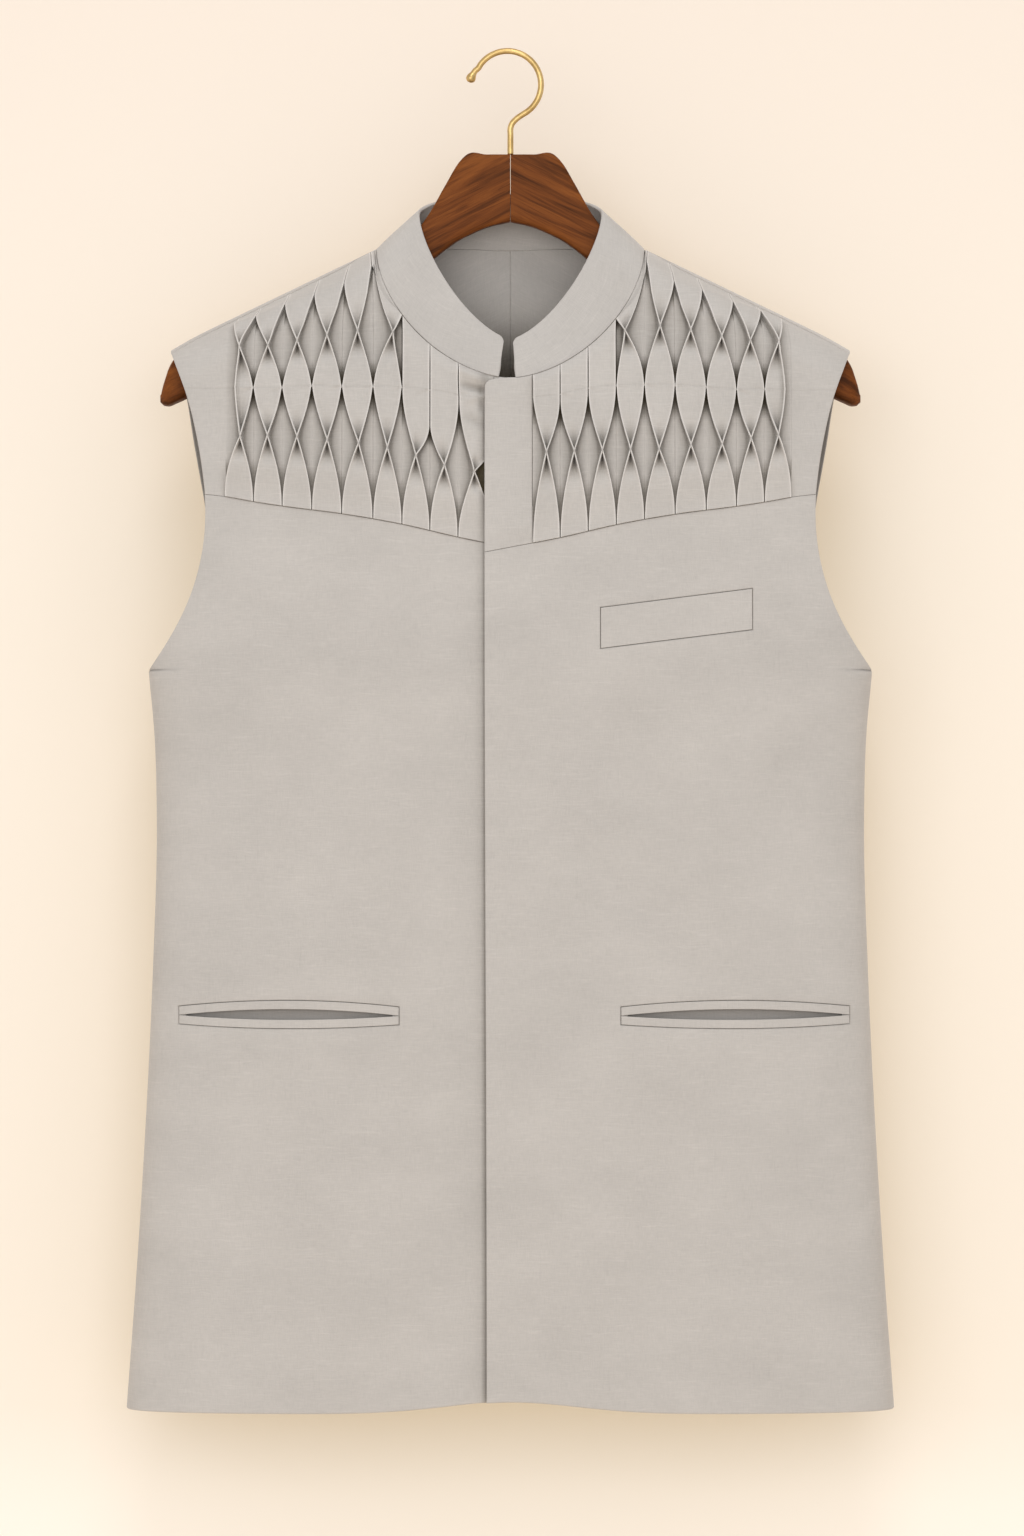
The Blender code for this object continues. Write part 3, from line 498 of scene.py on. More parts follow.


def linen(name, colour, turn=0.0):
    """Plain-woven linen. Stretched noises are the uneven weft and warp threads, the thicker slubs
    that run with the weft and some darker threads of the warp, and a broad one is the uneven dye.
    The threads wander a little. Folds are paler with a painted highlight, and creases are darker and warmer
    with painted shade."""
    material, shader, add = new_material(name)
    flat = add("UVMap", uv_map="cloth").outputs["UV"]
    flat = add("Mapping", {"Vector": flat, "Rotation": (0, 0, turn)}).outputs["Vector"]
    wander = add("TexNoise", {"Vector": flat, "Scale": WANDER_WAVES, "Detail": 3.0}).outputs["Color"]
    flat = add("VectorMath", {0: wander, 1: (WANDER, WANDER, 0), 2: flat}, operation="MULTIPLY_ADD")
    flat = flat.outputs[0]

    def blend(one, two, kind="ADD"):
        return add("Math", {0: one, 1: two}, operation=kind).outputs[0]

    weave = 0.0
    for waves, detail, amount, (least, most) in WEAVE:
        part = threads(add, flat, waves, detail, 0.6)
        part = add("MapRange", {"Value": part, "From Min": least, "From Max": most}).outputs[0]
        weave = blend(blend(part, amount, "MULTIPLY"), weave)
    # painted light of each piece: painted highlights above zero, painted shade below zero
    press_and_painted_light = add("Attribute", attribute_name="painted_light").outputs["Fac"]
    tone = blend(weave, blend(threads(add, flat, DYE, 4.0, 0.6), DYE_AMOUNT, "MULTIPLY"))
    tone = blend(blend(tone, TONE_MIDDLE), blend(press_and_painted_light, PAINTED_LIGHT_TONE, "MULTIPLY"))
    tone = blend(tone, TONE_LEAST, "MAXIMUM")
    green, blue = (blend(tone, blend(press_and_painted_light, warmth, "MULTIPLY")) for warmth in WARMTH)
    shade = add("CombineColor", {0: tone, 1: green, 2: blue}).outputs[0]
    bump = add("Bump", {"Height": weave, "Strength": 0.35, "Distance": 0.0012}).outputs["Normal"]
    feed(shader, {"Base Color": multiply(add, (*colour, 1), shade), "Normal": bump, "Roughness": 0.88,
                  "Specular IOR Level": 0.25, "Sheen Weight": 0.12, "Sheen Roughness": 0.5})
    return material


LINEN_COLOUR = (0.428, 0.390, 0.350)
cloth_linen = linen("linen_straight_grain", LINEN_COLOUR)


def dress(piece, material, slot, *replaced):
    """Give a piece its finish and tie it to the jacket's one body."""
    piece.data.materials.append(material)
    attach(piece, "root")
    if replaced:
        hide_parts(*replaced)


def yoke_seam(x):
    """Height of the yoke seam at a distance from the middle; past the middle it goes on falling."""
    middle = YOKE_SEAM[0][1]
    return middle + np.where(x < 0, -1, 1) * (follow(YOKE_SEAM, np.abs(x)) - middle)


def welt_line(x, end):
    """Height of the chest welt's top (end 1) or bottom (end 2) at x, level beyond its ends."""
    (x0, *low), (x1, *high) = CHEST_WELT
    share = np.clip((x - x0) / (x1 - x0), 0, 1)
    return low[end - 1] + (high[end - 1] - low[end - 1]) * share


def hip_line(x, side, level):
    """Height of a line of the hip pocket at x: the two lips bow up and down by a parabola."""
    inner, outer = HIP_POCKET[side]
    share = np.clip((x - inner) / (outer - inner), 0, 1)
    bow = 1 - (2 * share - 1) ** 2
    return HIP_Z + level + (HIP_BOW_UP if level > 0 else -HIP_BOW_DOWN) * bow


def front_hem(x):
    """Height of the fronts' hem, which rises by a Gaussian towards the closing."""
    return HEM_Z + HEM_RISE * np.exp(-(x / HEM_RISE_WIDTH) ** 2)


def beds(x, z, side):
    """How far a point lies outside the nearest pocket's outline; below zero it is inside."""
    inner, outer = HIP_POCKET[side]
    upper, lower = hip_line(x, side, HIP_WELT), hip_line(x, side, -HIP_WELT)
    hip = np.max([z - upper, lower - z, inner - x, x - outer], 0)
    if side < 0:
        return hip
    inner, outer = (end[0] for end in CHEST_WELT)
    chest = np.max([z - welt_line(x, 1), welt_line(x, 2) - z, inner - x, x - outer], 0)
    return np.minimum(hip, chest)


FIXED_TO = 178.0          # columns are plumb as far as this, and go evenly round the turn beyond it
INNER_COLUMNS, OUTER_COLUMNS = 46, 30
FITTING_PASSES = 6        # a place depends on the height there, so rows and columns are fitted in turn


def front_panel(word, side):
    """Lower front: rows run between guide lines, which follow the seam, the pockets and the hem, and
    columns are plumb up to FIXED_TO and share the rest of the width evenly round the turn."""
    inner, outer = HIP_POCKET[side]
    plumb = np.concatenate([np.linspace(-6, FIXED_TO, INNER_COLUMNS), inner - BED_STEPS,
                            [inner + SLIT_SHORT], CHEST_WELT[0][0] - BED_STEPS,
                            CHEST_WELT[1][0] + BED_STEPS])
    plumb.sort()
    hip_edge = follow(SECTIONS, HIP_Z, HALF_WIDTH)
    tails = across(np.append(outer + BED_STEPS, outer - SLIT_SHORT), hip_edge, HIP_Z, -1)
    tails = tails / across(FIXED_TO, hip_edge, HIP_Z, -1)
    spread = np.sort(np.append(tails, np.linspace(0, 1, OUTER_COLUMNS + 1)[1:-1]))[::-1]
    guides, counts = [], []

    def guide(line, steps, count):
        """Guide lines at some steps from a line, with so many rows from the last to the next guide."""
        for step in steps:
            guides.append(lambda x, step=step: line(x) + step)
            counts.append(1)
        counts[-1] = count

    guide(lambda x: yoke_seam(x) - SEAM, -EDGE_STEPS, 12)
    guide(lambda x: welt_line(x, 1), BED_STEPS, 6)
    guide(lambda x: welt_line(x, 2), -BED_STEPS[::-1], 16)
    guide(lambda x: UNDERARM_Z + 0 * x, [0], 36)
    guide(lambda x: hip_line(x, side, HIP_WELT), BED_STEPS, 2)
    slit_row = sum(counts)
    guide(lambda x: hip_line(x, side, SLIT_HALF), [0], 1)
    guide(lambda x: hip_line(x, side, -SLIT_HALF), [0], 2)
    guide(lambda x: hip_line(x, side, -HIP_WELT), -BED_STEPS[::-1], 38)
    guide(front_hem, EDGE_STEPS[::-1], 1)
    share = np.concatenate([np.arange(count) / count for count in counts[:-1]] + [[0]])[:, None]
    lower = np.repeat(np.arange(len(guides)), counts)
    upper = np.minimum(lower + 1, len(guides) - 1)
    rows, columns = len(share), 2 * len(EDGE_STEPS) + len(plumb) + len(spread)
    row, column = np.arange(rows)[:, None], np.arange(columns)[None, :]

    z = np.linspace(YOKE_SEAM[0][1], HEM_Z, rows)[:, None] + 0 * column
    for _ in range(FITTING_PASSES):
        lap = -LAP_EDGE[0] - (LAP_EDGE[1] - LAP_EDGE[0]) * ease((YOKE_SEAM[0][1] - z[:, :1]) / LAP_RUN)
        start = -(lap if side > 0 else UNDERLAP + 0 * lap)
        stop = armhole(z[:, -1:], -1)
        x = np.concatenate([start + EDGE_STEPS, plumb + 0 * start,
                            round_the_turn(FIXED_TO, stop, spread, z[:, -1:], -1)], axis=1)
        lines = np.array([line(x) for line in guides])
        one, two = lines[lower[:, None], row, column], lines[upper[:, None], row, column]
        z = one + (two - one) * share
    out = beds(x, z, side)
    beside_bed = -BED_DIP * np.clip(1 - (out - BED_GAP) / BED_DIP_WIDTH, 0, 1) ** 2
    y = np.minimum(oval(x, z, -1), -SEAM) - closing(side * x, side) - folds(side * x, z, FRONT_FOLDS[side])
    base = np.stack([side * x, y, z], axis=-1)
    slit = [np.argmin(np.abs(x[slit_row] - at)) for at in (inner + SLIT_SHORT, outer - SLIT_SHORT)]
    # painted shade along each bed's edge, and on the right front beside the lap
    outline = -OUTLINE_PAINTED_SHADE * np.exp(-((out - BED_GAP) / OUTLINE_WIDTH) ** 2)
    lap_painted_shade = -CLOSING_PAINTED_SHADE * np.exp(-np.maximum(x - lap, 0) / CLOSING_SHADE) * (side < 0)
    return cloth("front_" + word + "_cloth", base, normals(base, (0, -1, 0)),
                 (edge_rolls(rows, SEAM_ROUND, EDGE_ROUND), edge_rolls(columns, EDGE_ROUND, SEAM_ROUND)),
                 (side * x, z), lift=np.where(out < BED_GAP + BED_MARGIN, -LET_IN, beside_bed),
                 painted_light=np.minimum(outline, lap_painted_shade), hole=(slit_row, slit_row + 1, *slit))


for word, side in SIDES:
    front = front_panel(word, side)
    dress(front, cloth_linen, "linen", "front_" + word)

# ---- Smocked yokes -------------------------------------------------------------------------------
# Each yoke is one piece of linen in nine raised pleats. The pleats are caught together by hand in
# rows, so that their folds cross, open and touch and leave diamonds of the cloth beneath.

NECK_POINT, NECK_POINT_Z = 85.0, -124.0
SHOULDER_SLOPE = 0.482
SHOULDER_DROOP, DROOP_FROM = 0.0024, 190.0
SHOULDER_TIP = 215.3
SHOULDER_ROLL = 28.0
FORWARD_SEAM = 3.4
SEAM_RUN_IN = 25.0
NECK_DROP = 84.0
NECK_ROUNDNESS = 1.75
STRIP_INNER = 13.6
UNDER_STRIP = -9.0        # edge of the right yoke, which runs in under the strip
PLAIN_COLUMNS = (-2.0, 3.0, 7.0)   # and is plain there
PLEATED_FROM = 13.0       # as far as this
NECK_TUCK, NECK_TUCK_RUN = 0.36, 16.0   # share of the tuck under the strip that is left at the neck seam

VALLEYS = {
    # side: distance of the ten hollows from the middle, where the pleats touch
    -1: (10.0, 33.0, 50.5, 68.0, 86.2, 105.8, 124.6, 143.2, 161.2, 178.9),
    1: (14.0, 31.2, 48.8, 66.4, 84.1, 103.3, 122.8, 141.8, 159.4, 176.6),
}
UPPER_SHIFT = {
    # side: how far each pleat's upper pinch lies from the middle between its two hollows
    -1: (0, 0, 0, -3.3, 0, 0, 0, 0, -0.4),
    1: (0, 0, 0, -3.3, 0.3, 0.3, 0.5, 0, 0),
}
LOWER_SHIFT = {
    # side: and each pleat's lower pinch
    -1: (1.8, 0, 0, 0, -0.9, -0.5, -0.3, -0.2, -1.0),
    1: (0, 0, 0, 0, -0.6, 0, 0.2, 0, -0.4),
}
TIP_LEAN = {
    # side: how much nearer the neck each hollow closes above than it does in the touch row
    -1: (0, 0, 0, 0, -0.7, 1.6, 1.7, 1.9, 1.5, 1.5),
    1: (0, 0, 0, 0, -1.2, 0.7, 2.7, 2.3, 2.4, 2.2),
}
LEAN_ABOVE = 0.16         # and how much it leans on above that, for each millimetre
TIP_DROP = {
    # side: x, height of the yoke's upper edge above the point where a hollow closes
    -1: [(13, 1.0), (60, 1.0), (70, 1.0), (86, 12.7), (104, 13.0), (123, 10.8), (141, 7.8), (160, 6.4),
         (179, 3.8), (216, 3.0)],
    1: [(13, 1.0), (60, 1.0), (68, 1.0), (84, 10.5), (102, 12.8), (120, 9.0), (139, 7.1), (157, 4.4),
        (177, 3.2), (216, 3.0)],
}
TOP_PINCH = {
    # side: x, z
    -1: [(75, -180), (97, -179.2), (116, -182.0), (134, -185.3), (152, -188.2), (171, -189.5),
         (216, -206)],
    1: [(75, -179), (94, -176), (113, -178.3), (132, -182.3), (150, -185.1), (168, -186.6), (216, -204)],
}
TOUCH_ROW = {
    # side: x, z
    -1: [(13, -221), (33, -219), (51, -216), (69, -214.5), (106, -214.2), (125, -213.6), (143, -214.8),
         (161, -214.6), (216, -214)],
    1: [(13, -221), (31, -219), (49, -215), (66, -213.5), (84, -213), (103, -213.2), (123, -214.6),
        (142, -215.8), (160, -215.8), (216, -215)],
}
LOW_PINCH = {
    # side: x, z
    -1: [(13, -270), (42, -264), (59, -258), (77, -253), (97, -250), (115, -248), (134, -246),
         (152, -245.2), (170, -245.8), (216, -243)],
    1: [(13, -256), (42, -255), (77, -254), (94, -253.8), (113, -251.2), (132, -250.8), (150, -247.2),
        (168, -244.8), (216, -243)],
}
PLEATS = 9
ONCE_PINCHED = 3          # pleats further in are closed from the neck down to the touch row
PINCHED_FROM = 70.0       # so nearer the middle the row of upper pinches only halves the way
OPENING = {
    # side: where each of their hollows opens, as a share of the way from the touch row to the pinch
    -1: (0.50, 0.08, 0.50, 0.04),
    1: (0.02, 0.10, 0.04, 0.02),
}
OUTER_HALF = {
    # side: how wide the last pleat's free side is let out above, at the touch row and at the seam
    -1: (0.52, 0.30, 1.08),
    1: (0.50, 0.50, 1.0),
}
ARCH = {-1: 0.8, 1: 0.94} # how much of a quarter wave a fold follows between a pinch and a touch
ARCH_ABOVE = (0.3, 0.9)   # and above the upper pinch, on the neck side and on the armhole side of a pleat
PINCH_HALF = 0.36         # half the width of two folds caught together
FOLD_ROUND = 0.48         # radius of a fold
FOLD_START, FOLD_STOP = -0.9, 2.65   # the fold's arc runs between these angles from straight sideways
FOLD_HEIGHT = (4.8, 6.6)  # let out and pinched
SEWN_FLAT = (0.05, 0.25)  # share of that height left in the upper seam, and in the lower one
CROWN = 0.85              # how far a wide pleat swells
FACE_DIP = (4.0, 6.3, 5.0, 6.3)  # how deep a face goes by a pinch, in each stretch between the rows
DIP_WIDTH = 6.4           # half width at which that dip has gone
UNDERCUT = 0.75           # how far a wide pleat's foot lies under its fold
SPLAY = 1.0               # how far a pinched pleat's foot lies outside it
FLOOR_COLUMNS = (
    # share of the way to the foot, the most that it may lie from the hollow's middle (99 is no
    # limit), and how much painted shade darkens it there
    (0, 0, 0), (0.2, 0.26, 0), (0.4, 0.8, 0.05), (0.65, 99, 0.25), (0.88, 99, 0.6),
)
OPEN_GAP, SHUT_GAP = 4.0, 2.6    # a hollow this wide lies open, and one narrower than this goes deep
SEWN_RUN = (1.8, 0.85)    # the pleats rise over so many rows from the upper seam, and from the lower
WIDE = 7.0                # a side let out this far has come down to its lower height
HOLLOW_SWELL = 1.7        # how far the cloth of an open hollow bulges along its middle
HOLLOW_GROOVE = 0.45      # the line of stitches along the bottom of each hollow
GROOVE_TONE = {
    # side: how strongly that line shows in each hollow, as a groove and as painted shade
    -1: (0, 0.5, 0.9, 0.5, 0.9, 1.0, 0.35, 0.5, 0.7, 0),
    1: (0, 0.8, 0.4, 0.9, 0.5, 1.0, 0.4, 0.9, 0.6, 0.8),
}
SINK = 1.3                # how deep a hollow goes where it closes
DARK_GAP = 4.4            # a hollow narrower than this gets painted shade
CREASE_PAINTED_SHADE = 2.2               # how much painted shade darkens the cloth in the deepest creases
OUTER_SHADE = 1.5         # and the painted shade on the outermost pleat's face beside its outer edge, between its pinches
HOLE_PAINTED_SHADE = (2.6, 0.9)    # and the painted shade in the hollow that runs in under the strip, and in the one beside the neck
PRESS_LINE = 0.12         # the touch row is pressed in by this much, from hand to hand
PRESS_PAINTED_SHADE = 0.22         # and gets this much painted shade
NECK_PUCKERS = [
    # from x, z to x, z, width, height: the cloth is pushed up where the right yoke runs under
    (-36, -202, -12, -211, 3.4, 2.4), (-33, -212, -12, -218, 2.6, -1.8), (-32, -224, -10, -217, 3.4, 1.6),
    (-19.6, -210, -18.6, -232, 1.6, -1.8), (-31, -232, -15, -240, 3.6, -1.0),
    (-45, -190, -30, -205, 4, 0.5),
]
PUCKER_PAINTED_SHADE = 0.6         # their hollows get so much painted shade for each millimetre of depth
STRIP_SHADE = 0.9         # and the cloth beside the strip gets painted shade
BANDS = (16, 44, 50, 56, 56)   # rows from the seam to the tips, pinches, touch row, pinches and seam
MARGIN = np.array([0.01, 0.04, 0.12, 0.25, 0.4, 0.55, 0.7, 0.82, 0.92])   # plain cloth by the armhole


def shoulder(x):
    """Height of the top line of the shoulder: a straight slope that droops by a square at the tip."""
    x = np.abs(x)
    droop = SHOULDER_DROOP * np.clip(x - DROOP_FROM, 0, None) ** 2
    return NECK_POINT_Z - SHOULDER_SLOPE * (x - NECK_POINT) - droop


def run_at(x, z):
    """Distance down the cloth from the shoulder's top line to height z: an arc, then straight."""
    drop = shoulder(x) - z
    turn = SHOULDER_ROLL * np.arccos(np.clip(1 - drop / SHOULDER_ROLL, 0, 1))
    return np.where(drop < SHOULDER_ROLL, turn, SHOULDER_ROLL * pi / 2 + drop - SHOULDER_ROLL)


def section(x, run, side):
    """Point of the cloth at x, so far down from the top line; below zero it is over the top."""
    angle = np.clip(run / SHOULDER_ROLL, -pi / 2, pi / 2)
    below = np.clip(np.abs(run) - SHOULDER_ROLL * pi / 2, 0, None)
    z = shoulder(x) - SHOULDER_ROLL * (1 - np.cos(angle)) - below
    return np.stack([x + 0 * z, oval(x, z, side) * np.sin(angle), z], axis=-1)


def neck(x):
    """Height of the front neck seam: a superellipse from the neck points down to the middle."""
    share = np.clip(np.abs(x) / NECK_POINT, 0, 1)
    return NECK_POINT_Z - NECK_DROP * (1 - share ** NECK_ROUNDNESS) ** (1 / NECK_ROUNDNESS)


def forward_seam(x):
    """Drop of the shoulder seam below the top line."""
    return FORWARD_SEAM * ease((np.abs(x) - NECK_POINT) / SEAM_RUN_IN)


def let_out(pleat, half, down, side):
    """How far one side of a pleat is let out, 0 pinched to 1 touching its neighbour: an arch between
    each pinch and the place where the hollow beside it closes. down is the row: 0 seam, 1 where
    hollows close, 2 upper pinches, 3 touch row, 4 lower pinches, 5 yoke seam. On the pleat next
    to the neck the rows are slanted: the share runs ahead on the neck side and lags on the other."""
    hollow = pleat + (half > 0)
    low = np.sin(pi / 2 * np.clip(down - 4, 0, 1)) ** 0.95
    if pleat < ONCE_PINCHED:
        opening = 3 + OPENING[side][hollow]
        up = np.clip((4 - down) / (4 - opening), 0, 1)
        arch = ARCH[-1] if side > 0 and hollow == 0 else 1
        return np.where(down < 4, np.sin(arch * pi / 2 * up) / np.sin(arch * pi / 2), low)
    from_pinch = np.clip(np.abs(down - np.where(down < 3, 2, 4)), 0, 1)
    arch = np.where(down < 2, ARCH_ABOVE[(half > 0) != (pleat == ONCE_PINCHED)], ARCH[side]) * pi / 2
    wave = np.sin(arch * from_pinch) / np.sin(arch)
    if pleat == ONCE_PINCHED:
        ahead, behind = 3 * from_pinch / (1 + 2 * from_pinch), 1 - np.sqrt(1 - from_pinch ** 1.2)
        wave = np.where(down < 2, ahead if half < 0 else behind, wave)
    if hollow == PLEATS:
        above, touch, seam = OUTER_HALF[side]
        return np.select([down < 2, down < 4], [wave * above, wave * touch], low * seam)
    return np.select([down < 1, down < 4], [1 + 0 * down, wave], low)


def hollow_at(number, down, side):
    """Distance of a hollow from the middle: it leans towards the neck above the upper pinches."""
    at = VALLEYS[side][number]
    lean = TIP_LEAN[side][number]
    beyond = follow(TIP_DROP[side], at) * np.clip(1 - down, 0, 1)
    return at - lean * ease((2.2 - down) / 1.4) - np.sign(lean) * LEAN_ABOVE * beyond


def pleat_width(pleat, half, down, side):
    """Where one side of a pleat lies: the pleat's middle, the room from there to the hollow beside it
    and the width that it is let out to, which leaves a slit except where it touches its neighbour."""
    near, far = hollow_at(pleat, down, side), hollow_at(pleat + 1, down, side)
    centre = (near + far) / 2 + (UPPER_SHIFT[side][pleat] * np.clip(1 - np.abs(down - 2), 0, 1)
                                 + LOWER_SHIFT[side][pleat] * np.clip(1 - np.abs(down - 4), 0, 1))
    room = np.abs((near if half < 0 else far) - centre)
    touching = np.exp(-((down - 3) / 0.03) ** 2)
    slit = 0.14 + 0.12 * ease(down - 1) - 0.2 * touching * (pleat >= ONCE_PINCHED)
    return centre, room, PINCH_HALF + (room - slit - PINCH_HALF) * let_out(pleat, half, down, side)


def pleat_half(pleat, half, down, side):
    """Columns of one side of a pleat, from the middle of the hollow to the middle of the pleat:
    distance from the middle of the jacket, height over the base, and painted light: a painted
    highlight of 1 along the folds and painted shade below zero in the creases. The floor runs to the
    foot, the flank rises to the crest, the crest is an arc, and the face swells where it is wide and
    dips between the folds near a pinch."""
    centre, room, width = pleat_width(pleat, half, down, side)
    both = (width + pleat_width(pleat, -half, down, side)[2]) / 2
    hollow = pleat + (half > 0)
    gap = room - width
    ends = (SEWN_FLAT[0] + (1 - SEWN_FLAT[0]) * ease(down / SEWN_RUN[0])) * (
        SEWN_FLAT[1] + (1 - SEWN_FLAT[1]) * ease((5 - down) / SEWN_RUN[1]))
    high = (FOLD_HEIGHT[1] - (FOLD_HEIGHT[1] - FOLD_HEIGHT[0]) * ease(width / WIDE)) * ends
    radius = np.minimum(FOLD_ROUND, 0.9 * width)
    open_out = ease(gap / OPEN_GAP)
    dark = 1 - ease(gap / DARK_GAP)
    foot = gap + np.minimum(UNDERCUT, 0.35 * width) * ends - SPLAY * (1 - ease(width / 2.4)) * open_out
    floor = -SINK * (1 - ease(gap / SHUT_GAP)) * ease(down)
    stitched = GROOVE_TONE[side][hollow] * ease((gap - 0.8) / 1.5)
    hole = HOLE_PAINTED_SHADE[0] * (side < 0 and hollow == 0) + HOLE_PAINTED_SHADE[1] * (hollow == ONCE_PINCHED) * (down < 3)
    columns = []

    def column(out, height, tone=0.0):
        columns.append((out, height, tone + 0 * down))

    for share, most, floor_painted_shade in FLOOR_COLUMNS:
        away = np.minimum(share * foot, most)
        swell = HOLLOW_SWELL * open_out * (1 - (away / np.maximum(foot, 0.1)) ** 2) - 0.7 * open_out
        line = stitched * (share == 0)
        # painted shade on the hollow's floor: most where it is narrow, along the stitched line, and in the
        # hollows under the strip and by the neck
        narrow_painted_shade = CREASE_PAINTED_SHADE * np.maximum(1.6 * dark, floor_painted_shade * open_out) * np.sqrt(ends)
        column(gap - away, floor + (swell - HOLLOW_GROOVE * line) * ease(down),
               -0.9 * line - narrow_painted_shade - hole * open_out)
    low = floor - 0.6 * open_out * ease(down)
    stop = np.minimum(FOLD_STOP, np.arccos(np.clip(-(width - radius - 0.03) / radius, -1, 0.1)))

    def on_fold(angle):
        return radius * (np.cos(angle) - 1), high + radius * (np.sin(angle) - 1)

    start_out, start_high = on_fold(FOLD_START)
    # the flank, under painted shade
    for share in (0, 0.35, 0.7):
        column((gap - foot) * (1 - share) + start_out * share, low + (start_high - low) * share,
               -CREASE_PAINTED_SHADE * (0.7 - 0.5 * share) * ends)
    # the crest, with a painted highlight
    for share, tone in ((0, 0.1), (0.2, 0.8), (0.4, 1), (0.6, 1), (0.8, 0.9), (1, 0.3)):
        column(*on_fold(FOLD_START + (stop - FOLD_START) * share), tone)
    inside, level = on_fold(stop)
    swell = (CROWN * ease((both - 4) / 4) + 0.2) * ends
    pulled = ease((width - PINCH_HALF) / 0.9) * (1 - ease((both - 1.3) / (DIP_WIDTH - 1.3))) * ends
    dip = np.array(FACE_DIP)[np.clip(down.astype(int) - 1, 0, 3)] * pulled
    # painted shade in the face's dips by a pinch, and on the outermost pleat's face beside its outer edge
    outermost_painted_shade = OUTER_SHADE * (hollow == PLEATS) * np.sin(pi * np.clip(down / 2 - 1, 0, 1))
    for share in (0.12, 0.3, 0.52, 0.76, 1):
        bowl = 1 - (1 - share) ** 2
        column((width + inside) * (1 - share) - width, level + swell * bowl - dip * bowl ** 0.8,
               -CREASE_PAINTED_SHADE * bowl * (dip / FACE_DIP[1]) ** 1.5 - outermost_painted_shade * (1 - share))
    out, height, tone = (np.array(values) for values in zip(*columns))
    return centre + half * (width + out), height, tone


def yoke_lines(x, side):
    """Heights of the six guide rows at x, from the upper edge to the yoke seam."""
    away = np.abs(x)
    seam_top = shoulder(x) - forward_seam(x) - SEAM
    neck_top = neck(away - 2 * SEAM) - SEAM
    top = np.where(away > NECK_POINT, seam_top, neck_top)
    clear = np.clip(away, VALLEYS[1][0], None)
    touch = follow(TOUCH_ROW[side], clear)
    tip = top - follow(TIP_DROP[side], clear)
    pinch = follow(TOP_PINCH[side], np.clip(away, TOP_PINCH[side][0][0], None))
    pinch = pinch + ((top + touch) / 2 - pinch) * ease((PINCHED_FROM - away) / 12)
    low = follow(LOW_PINCH[side], clear)
    return [top, tip, pinch, touch, low, yoke_seam(x) + SEAM]


def yoke_base(x, run, side):
    """Point of the cloth under the pleats, at a distance from the middle and down from the top."""
    base = section(side * x, run, -1)
    below_neck = ease((NECK_POINT_Z - NECK_DROP - base[..., 2]) / NECK_TUCK_RUN)
    tucked = 1 if side > 0 else NECK_TUCK + (1 - NECK_TUCK) * below_neck
    base[..., 1] -= closing(base[..., 0], side) * tucked
    return base


def node_puckers(side):
    """Small creases that run into the faces from each tack of the touch row, all a little unlike."""
    creases = []
    for i, x in enumerate(VALLEYS[side][1:-1]):
        z = follow(TOUCH_ROW[side], x) + 0.4 * np.sin(5 * i)
        uneven = 0.6 + 0.4 * np.sin(2.3 * i + side)
        creases.append((side * (x + 0.3), z, side * (x + 8), z - 3.5 - 1.5 * uneven, 0.8, -0.45 * uneven))
        creases.append((side * (x + 0.3), z + 0.8, side * (x + 9), z - 0.5, 1.1, 0.32 * uneven))
        creases.append((side * (x - 0.3), z, side * (x - 7), z + 2.5 * uneven, 0.8, -0.35 * (1.4 - uneven)))
    return creases


